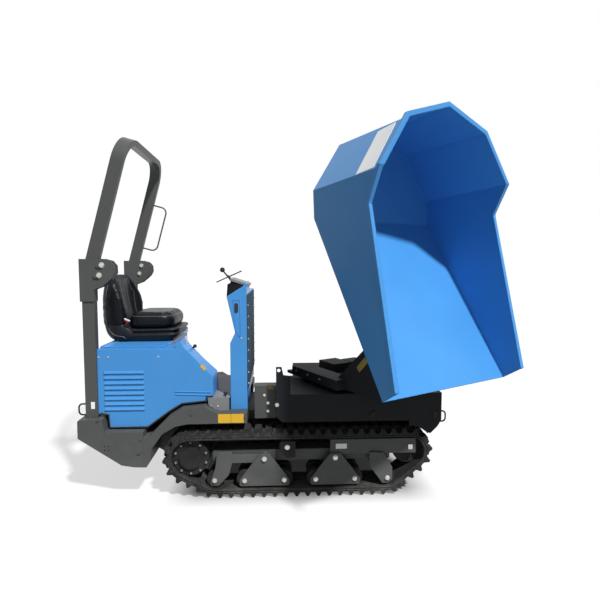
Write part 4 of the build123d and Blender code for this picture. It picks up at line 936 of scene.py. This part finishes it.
def build_bolt_tree():
    """Hexagon heads with washers on points; the points carry axis and size."""
    tree, start, end = new_tree("hexagon_bolts", "GeometryNodeTree", [
        ("Geometry", "Geometry"), ("Washer sides", "Int", 20), ("Finish", "Material"),
    ], [("Geometry", "Geometry")])
    sized, axis = (
        got(tree, "GeometryNodeInputNamedAttribute", {"data_type": sort}, Name=name)
        for name, sort in (("size", "FLOAT"), ("axis", "FLOAT_VECTOR")))
    discs = []
    for corners, foot, top, low, high in BOLT_DISCS:
        cone = got(tree, "GeometryNodeMeshCone", {"fill_type": "NGON"}, Depth=high - low,
                   Vertices=corners or start.outputs["Washer sides"],
                   Radius_Top=top, Radius_Bottom=foot)
        discs.append(got(tree, "GeometryNodeTransform", Geometry=cone,
                         Translation=(0.0, 0.0, low)))
    turn = got(tree, "FunctionNodeAlignRotationToVector", {"axis": "Z"}, Vector=axis)
    heads = got(tree, "GeometryNodeInstanceOnPoints", Points=start.outputs["Geometry"],
                Instance=joined(tree, discs), Rotation=turn, Scale=sized)
    solid = got(tree, "GeometryNodeRealizeInstances", Geometry=heads)
    return finished(tree, start, end, solid)


def bolt_points(name, rows):
    """Points with an axis and a size each: place, axis, outer radius."""
    places, axes, radii = zip(*rows)
    mesh = bpy.data.meshes.new(name)
    mesh.from_pydata(places, [], [])
    mesh.attributes.new("axis", "FLOAT_VECTOR", "POINT").data.foreach_set(
        "vector", [c for axis in axes for c in axis])
    mesh.attributes.new("size", "FLOAT", "POINT").data.foreach_set("value", radii)
    return mesh


# bolts on the outer faces of both sides of the chassis: x, z, washer radius
SIDE_BOLTS = (
    (-0.545, 0.114, 0.017), (-0.348, 0.114, 0.017), (-0.088, 0.114, 0.017), (0.120, 0.114, 0.017),
    (0.380, 0.114, 0.017), (0.599, 0.114, 0.017), (-0.218, 0.258, 0.018), (0.250, 0.258, 0.018),
    (-0.068, 0.334, 0.018),
)
# bolts painted over with the castings, both sides
PAINTED_BOLTS = (
    (-1.029, 0.313, 0.012), (-1.352, 0.536, 0.009), (-1.286, 0.529, 0.009), (-1.014, 0.399, 0.008),
    (-0.690, 0.560, 0.009), (-0.345, 0.535, 0.008),
)
# bolts on the right side only
RIGHT_BOLTS = (
    (-0.134, 0.617, 0.014), (-0.570, 0.600, 0.006), (-0.524, 0.599, 0.006), (-0.219, 0.658, 0.010),
    (-0.195, 0.604, 0.011), (-0.195, 0.549, 0.011), (-1.289, 0.931, 0.006), (-1.229, 0.931, 0.006),
    (-0.907, 0.931, 0.006), (-0.368, 1.046, 0.006),
)
# pivot bolts of the roll bar brackets, with nuts on the inner faces: x, z
BRACKET_BOLTS = ((-1.244, 1.527), (-1.262, 1.462))
# screws on the front face of the console's guard: y, z
GUARD_BOLTS = [(y, z / 1000) for y in (-0.385, 0.385) for z in range(735, 1320, 75)]
# screws along the box beams of the swing frame: forward, height
BEAM_BOLTS = ((-0.05, 0.752), (0.10, 0.752), (0.25, 0.752))
# washer radii of those bolts
BRACKET_HEAD, BRACKET_NUT, GUARD_HEAD, BEAM_HEAD = 0.019, 0.017, 0.007, 0.010
# sprocket axle x and z, number of rim bolts, radius of their circle and of their washers
SPROCKET_X, SPROCKET_Z, SPROCKET_BOLTS, SPROCKET_CIRCLE, SPROCKET_WASHER = (
    -0.700, 0.266, 10, 0.104, 0.0085)


def side_bolts(table, right_only=()):
    """Rows of place, axis and size for a table of bolts on both sides of the chassis."""
    return [(side_place(x, z, sign), (0, sign, 0), radius) for sign in SIDES.values()
            for x, z, radius in table + (right_only if sign < 0 else ())]


def sprocket_bolts():
    """The sprocket's rim bolts as a table of x, z and radius."""
    turns = [2 * pi * (i + 0.5) / SPROCKET_BOLTS for i in range(SPROCKET_BOLTS)]
    return tuple((SPROCKET_X + SPROCKET_CIRCLE * cos(turn),
                  SPROCKET_Z + SPROCKET_CIRCLE * sin(turn), SPROCKET_WASHER) for turn in turns)


def bright_bolts():
    """Rows for the zinc-plated bolts on the chassis."""
    rows = side_bolts(SIDE_BOLTS, RIGHT_BOLTS)
    for sign in SIDES.values():
        for x, z in BRACKET_BOLTS:
            inner = face_at((x, 0, z), (0, sign, 0), SOLID_NODES)[0]
            rows += [(side_place(x, z, sign), (0, sign, 0), BRACKET_HEAD),
                     (inner, (0, -sign, 0), BRACKET_NUT)]
    return rows + [(face_at((0, y, z), (-1, 0, 0), ["console_guard"])[0], (1, 0, 0), GUARD_HEAD)
                   for y, z in GUARD_BOLTS]


def swing_bolts():
    """Rows for the screws along the outer faces of both box beams."""
    rows = []
    for side, sign in SIDES.items():
        for forward, height in BEAM_BOLTS:
            start = swung(forward, sign * 0.6, height)
            place = face_at(start, -sign * SWING_LEFT, ["tip_arm_" + side])[0]
            rows.append((place, sign * SWING_LEFT, BEAM_HEAD))
    return rows


class DUMPER_OT_fasteners(bpy.types.Operator):
    """Bolts on the track frames, brackets, castings, guard and swing frame"""

    bl_idname = "dumper.fasteners"
    bl_label = "Fasteners"

    def execute(self, context):
        tree = build_bolt_tree()
        sides, edge = {"Washer sides": sizes().bolt_sides}, sprocket_bolts()
        for name, rows, *look in (
                ("bolts_zinc", bright_bolts(), "zinc_plate", "chassis", "zinc"),
                ("bolts_painted", side_bolts(PAINTED_BOLTS), "warm_grey", "chassis", "grey_paint"),
                ("bolts_sprocket", side_bolts(edge), "step_grey", "chassis", "cast_steel"),
                ("bolts_swing", swing_bolts(), "step_grey", "swing_frame", "dark_paint")):
            grown(name, bolt_points(name, rows), tree, sides, *look)
        return {"FINISHED"}


# ---- plates ----
ALONG, UPRIGHT = (1.0, 0.0, 0.0), (0.0, 0.0, 1.0)
# bare plates on the chassis' right side: finish, x, z, width, height, slope in degrees
CHASSIS_PLATES = (
    ("plate_yellow", -0.4760, 0.5318, 0.082, 0.059, 0),
    ("plate_yellow", -0.3920, 0.5318, 0.082, 0.059, 0),
    ("plate_ochre", -0.1770, 0.7080, 0.038, 0.022, 0),
    ("plate_yellow", -0.6180, 0.8560, 0.040, 0.020, -46),
    ("plate_white", 0.2910, 0.3300, 0.074, 0.034, 0),
    ("plate_white", -1.3290, 0.6170, 0.025, 0.046, 0),
)
# plate on the near arm: place in the swing frame, slope, width and height
ARM_PLACE, ARM_SLOPE, ARM_PLATE = (0.613, -0.6, 0.908), radians(44), (0.112, 0.040)
# plate on the skip's chamfer: place, way along its lower edge, way up, width and height
SKIP_PLACE, SKIP_ALONG, SKIP_UP, SKIP_PLATE = (
    Vector((0.394, -0.9925, 2.139)), Vector((0.072, -0.121, 0.016)),
    Vector((0.144, 0.118, 0.263)), (0.140, 0.320))


def sloped(across, up, slope):
    """Both directions of a plate, turned in its own plane."""
    across, up = Vector(across), Vector(up)
    return across * cos(slope) + up * sin(slope), up * cos(slope) - across * sin(slope)


class DUMPER_OT_plates(bpy.types.Operator):
    """Bare label plates on the fender, hood, beam, swing frame and skip"""

    bl_idname = "dumper.plates"
    bl_label = "Plates"

    def execute(self, context):
        for finish_name in ("plate_yellow", "plate_ochre", "plate_white"):
            rows = [(side_place(x, z, -1.0), *sloped(ALONG, UPRIGHT, radians(slope)), width, height)
                    for name, x, z, width, height, slope in CHASSIS_PLATES if name == finish_name]
            cards(finish_name + "_chassis", rows, finish_name, "chassis", "grey_paint")
        # the arm's plate takes the yellow darkened as painted shade
        place = face_at(swung(*ARM_PLACE), SWING_LEFT, ["tip_arm_right"])[0]
        cards("plate_ochre_arm",
              [(place, *sloped(SWING_FORWARD, UPRIGHT, ARM_SLOPE), *ARM_PLATE)],
              "plate_ochre", "swing_frame", "dark_paint")
        out = SKIP_ALONG.cross(SKIP_UP).normalized()
        place = face_at(SKIP_PLACE + out, -out, ["skip"])[0]
        cards("plate_white_skip", [(place, SKIP_ALONG, SKIP_UP, *SKIP_PLATE)],
              "plate_white", "skip_unit", "blue_paint", corner=0.006)
        return {"FINISHED"}


# ---- trim ----
HOOD = ["engine_hood"]
# line of a black bead along the hood's lower edge, from the nose to the rear: x, z; the left side
# has only its rear part
HOOD_BEAD_LINE = ((-0.560, 0.668), (-0.598, 0.664), (-0.604, 0.634), (-0.760, 0.618), (-0.845, 0.566),
             (-0.890, 0.533), (-0.984, 0.465), (-1.229, 0.465), (-1.235, 0.551), (-1.288, 0.561))
HOOD_BEAD_LEFT_START = 5
HOOD_BEAD_RADIUS, PRESSED_RADIUS, BEAD_RADIUS = 0.006, 0.0045, 0.003
# pressed lines on the nose: x and z at the rear and at the front
PRESSED_LINES = (((-0.804, 0.699), (-0.566, 0.690)), ((-0.800, 0.678), (-0.566, 0.670)))
# edge bead of the console's cheek: x, z
BEAD_LINE = ((-0.422, 1.300), (-0.376, 1.300), (-0.376, 1.050), (-0.408, 1.100), (-0.422, 1.300))
# lathe profiles: radius, height
KNOB = [(0.006, -0.006), (0.006, 0.010)] + [
    (0.013 * sin(pi * k / 10), 0.020 - 0.013 * cos(pi * k / 10)) for k in range(3, 11)]
BOSS = [(0.026, -0.004), (0.026, 0.005), (0.024, 0.007), (0.018, 0.007), (0.017, 0.004),
        (0.008, 0.004)]
PLUG = [(0.0045, -0.002), (0.0045, 0.001), (0.0025, 0.0012)]
# bosses on the front frame, blind plugs on the rear casting: x, z, profile
BOSSES = ((0.506, 0.540, BOSS), (-1.246, 0.336, PLUG), (-1.246, 0.359, PLUG),
          (-1.222, 0.336, PLUG), (-1.222, 0.359, PLUG))
SWITCH = [(0.011, -0.003), (0.011, 0.003), (0.009, 0.008), (0.006, 0.009)]
# plates of the hood latch: lift off the hood, shift to the rear, width and height
LATCH_PLATES = ((0.003, 0.0, 0.060, 0.026), (0.010, 0.0, 0.034, 0.012),
                (0.010, 0.030, 0.016, 0.018))
DASH_SLOPE = radians(-18)


class DUMPER_OT_trim(bpy.types.Operator):
    """Black bead under the hood, pressed lines, latch, knobs, bosses, dash cover, switches and pads
    """

    bl_idname = "dumper.trim"
    bl_label = "Trim"

    def execute(self, context):
        lines = [[side_place(x, z + 0.001, sign, HOOD) - 0.003 * UP
                  for x, z in HOOD_BEAD_LINE[0 if sign < 0 else HOOD_BEAD_LEFT_START:]]
                 for sign in SIDES.values()]
        bevelled_lines("hood_seal", lines, HOOD_BEAD_RADIUS, "seal_black", "chassis", "black_plastic")
        lines = [[side_place(x, z, -1.0, HOOD) for x, z in line] for line in PRESSED_LINES]
        bevelled_lines("hood_pressed_lines", lines, PRESSED_RADIUS,
                       "blue_gloss", "chassis", "blue_paint")
        # black knobs: on the nose and on the step
        nose, slope = under(-0.712, -0.285, HOOD)
        step = face_at((-0.477, -0.420, 0.9), (0, 0, -1), ["footboard"])[0]
        turned("knobs", [(nose, slope, KNOB), (step, UPRIGHT, KNOB)],
               "moulded_black", "chassis", "black_plastic")
        # latch of the hood: base, hook and toggle
        top, slope = under(-0.752, -0.300, HOOD)
        along = Vector((slope.z, 0, -slope.x))
        cards("hood_latch", [
            (top + slope * lift - along * back, along, slope.cross(along), width, height)
            for lift, back, width, height in LATCH_PLATES],
            "zinc_plate", "chassis", "zinc", thickness=0.004, corner=0.005)
        rows = [(side_place(x, z, sign), (0, sign, 0), profile)
                for sign in SIDES.values() for x, z, profile in BOSSES]
        turned("frame_bosses", rows, "cast_iron", "chassis", "cast_steel")
        # oval grommet and edge bead of the console's cheek
        cheek = side_place(-0.400, 1.246, -1.0)
        cards("console_grommet", [(cheek, ALONG, UPRIGHT, 0.024, 0.066)],
              "seal_black", "chassis", "black_plastic", thickness=0.003, corner=0.0119)
        bevelled_lines("console_bead", [[(x, cheek.y, z) for x, z in BEAD_LINE]], BEAD_RADIUS,
                       "blue_gloss", "chassis", "blue_paint")
        # cover over the dash, sloping down to the front
        across = (cos(DASH_SLOPE), 0, sin(DASH_SLOPE))
        cards("dash_cover", [((-0.382, -0.245, 1.414), across, (0, 1, 0), 0.130, 0.300)],
              "step_grey", "chassis", "grey_paint", thickness=0.008, corner=0.012)
        # switches on the dash
        rows = [(*under(-0.392, y, ["dash_panel", "console"]), SWITCH)
                for y in (-0.300, -0.262, -0.224)]
        turned("dash_switches", rows, "moulded_black", "chassis", "black_plastic")
        # bolted pads of the tie-down rings, square fitting on the track beam
        for name, x, z, width, height, *look in (
                ("ring_pads", 0.915, 0.535, 0.034, 0.050, "cast_iron", "chassis", "cast_steel"),
                ("beam_fittings", 0.754, 0.318, 0.030, 0.034, "zinc_plate", "chassis", "zinc")):
            rows = [(side_place(x, z, sign), (-sign, 0, 0), UPRIGHT, width, height)
                    for sign in SIDES.values()]
            cards(name, rows, *look, thickness=0.005, corner=0.005)
        return {"FINISHED"}


# ---- welds ----
WELD_ANGLE, WELD_SHORTEST = radians(12), 0.02


def inner_corners(node):
    """Lines along the longer edges where faces of a node meet in a hollow corner."""
    tidy = bmesh.new()
    tidy.from_mesh(NODES[node].data)
    bmesh.ops.remove_doubles(tidy, verts=tidy.verts, dist=1e-5)
    lines = [[vertex.co.copy() for vertex in edge.verts] for edge in tidy.edges
             if len(edge.link_faces) == 2 and edge.calc_face_angle_signed() < -WELD_ANGLE
             and edge.calc_length() > WELD_SHORTEST]
    tidy.free()
    return lines


class DUMPER_OT_welds(bpy.types.Operator):
    """Weld beads along the inner corners of the skip, the swing frame and the counterweight"""

    bl_idname = "dumper.welds"
    bl_label = "Welds"

    def execute(self, context):
        for node, radius, *look in (
                ("skip", 0.0035, "blue_gloss", "skip_unit", "blue_paint"),
                ("tip_arm_left", 0.004, "front_anthracite", "swing_frame", "dark_paint"),
                ("tip_arm_right", 0.004, "front_anthracite", "swing_frame", "dark_paint"),
                ("counterweight", 0.003, "warm_grey", "chassis", "grey_paint")):
            lines = inner_corners(node)
            if lines:
                bevelled_lines("welds_" + node, lines, radius, *look, resolution=2)
        return {"FINISHED"}


# ---- stage ----
# painted shadow on the floor under the tracks, where its glow is cut: middle and half span along x
# and y, and how far its soft edge reaches inwards and outwards
PAINTED_SHADOW_SPOT, EDGE_IN, EDGE_OUT = ((0.04, 0.76), (0.10, 0.57)), 0.06, 0.16
# half size and grey of the floor, its glow for seen rays, its lower glow inside the painted shadow,
# and the sky's light
FLOOR_HALF, FLOOR_GREY, FLOOR_GLOW, PAINTED_SHADOW_GLOW, SKY_LIGHT = 60, 0.36, 0.64, 0.02, 0.18
SUN_POWER, SUN_WIDTH, SUN_FROM = 3.9, radians(4), (0.40, -0.58, 0.85)
CAMERA_LENS, CAMERA_PLACE = 27.6, (-0.125, -3.45, 1.515)
CAMERA_TURN = (radians(85.9), 0, radians(-2.74))


def seen_ray(tree):
    """One for rays that show a surface, straight, mirrored or through glass, else zero."""
    path = put(tree, "ShaderNodeLightPath").outputs
    seen = math_node(tree, "MAXIMUM", path["Is Camera Ray"], path["Is Glossy Ray"])
    return math_node(tree, "MAXIMUM", seen, path["Is Transmission Ray"])


class DUMPER_OT_stage(bpy.types.Operator):
    """Floor with a painted shadow under the tracks, soft light and camera"""

    bl_idname = "dumper.stage"
    bl_label = "Stage"

    def execute(self, context):
        scene = context.scene
        floor_mesh = bpy.data.meshes.new("floor")
        floor_mesh.from_pydata([(x * FLOOR_HALF, y * FLOOR_HALF, 0) for x, y in (
            (-1, -1), (1, -1), (1, 1), (-1, 1))], [], [(0, 1, 2, 3)])
        floor = linked("floor", floor_mesh)
        floor.location.z = CAD_BOX[0][2] - 0.001
        pale = bpy.data.materials.new("pale_floor")
        tree, out = bare_tree(pale, "ShaderNodeOutputMaterial")
        matt = got(tree, "ShaderNodeBsdfDiffuse", Color=(FLOOR_GREY, FLOOR_GREY, FLOOR_GREY, 1))
        # patch of painted shadow: the floor's glow for seen rays drops under the tracks, soft at
        # its edges
        spot = put(tree, "ShaderNodeSeparateXYZ", Vector=object_place(tree)).outputs
        reach = []
        for axis, (middle, half) in enumerate(PAINTED_SHADOW_SPOT):
            gap = math_node(tree, "SUBTRACT", spot[axis], middle)
            reach.append(ramp(tree, math_node(tree, "ABSOLUTE", gap, 0.0),
                              half - EDGE_IN, half + EDGE_OUT, 1.0, 0.0))
        under = math_node(tree, "MULTIPLY", *reach)
        glow = math_node(tree, "MULTIPLY", seen_ray(tree),
                         ramp(tree, under, 0.0, 1.0, FLOOR_GLOW, PAINTED_SHADOW_GLOW))
        lift = got(tree, "ShaderNodeEmission", Strength=glow)
        both = got(tree, "ShaderNodeAddShader", i0=matt, i1=lift)
        tree.links.new(both, out.inputs[0])
        floor_mesh.materials.append(pale)

        world = bpy.data.worlds.new("pale_sky")
        tree, out = bare_tree(world, "ShaderNodeOutputWorld")
        sky = got(tree, "ShaderNodeBackground", Color=(1, 1, 1, 1),
                  Strength=ramp(tree, seen_ray(tree), 0.0, 1.0, SKY_LIGHT, 1.0))
        tree.links.new(sky, out.inputs[0])
        scene.world = world

        sun = bpy.data.lights.new("sun", "SUN")
        sun.energy, sun.angle = SUN_POWER, SUN_WIDTH
        linked("sun", sun).rotation_euler = Vector(SUN_FROM).to_track_quat("Z", "Y").to_euler()

        camera = bpy.data.cameras.new("camera")
        camera.lens, camera.sensor_width = CAMERA_LENS, 36.0
        eye = linked("camera", camera)
        eye.location, eye.rotation_euler = CAMERA_PLACE, CAMERA_TURN
        scene.camera = eye
        scene.view_settings.view_transform = "Standard"
        return {"FINISHED"}


class DUMPER_PT_sidebar(bpy.types.Panel):
    """Lists the machine's builders and their settings"""

    bl_idname = "DUMPER_PT_sidebar"
    bl_label = "Dumper"
    bl_space_type = "VIEW_3D"
    bl_region_type = "UI"
    bl_category = "Dumper"

    def draw(self, context):
        for group in (context.scene.dumper_colours, context.scene.dumper_sizes):
            box = self.layout.box()
            for key in group.bl_rna.properties.keys():
                if key not in ("rna_type", "name"):
                    box.prop(group, key)
        for operator in OPERATORS:
            self.layout.operator(operator.bl_idname)


OPERATORS = (DUMPER_OT_finishes, DUMPER_OT_tracks, DUMPER_OT_seat, DUMPER_OT_fasteners,
             DUMPER_OT_plates, DUMPER_OT_trim, DUMPER_OT_welds, DUMPER_OT_stage)
CLASSES = (DumperColours, DumperSizes, *OPERATORS, DUMPER_PT_sidebar)


def register():
    for cls in CLASSES:
        bpy.utils.register_class(cls)
    bpy.types.Scene.dumper_colours = bpy.props.PointerProperty(type=DumperColours)
    bpy.types.Scene.dumper_sizes = bpy.props.PointerProperty(type=DumperSizes)


def unregister():
    del bpy.types.Scene.dumper_sizes
    del bpy.types.Scene.dumper_colours
    for cls in reversed(CLASSES):
        bpy.utils.unregister_class(cls)


def main():
    register()
    bpy.ops.dumper.finishes()
    bpy.ops.dumper.tracks()
    bpy.ops.dumper.seat()
    bpy.ops.dumper.fasteners()
    bpy.ops.dumper.plates()
    bpy.ops.dumper.trim()
    bpy.ops.dumper.welds()
    bpy.ops.dumper.stage()


if __name__ == "__main__":
    main()
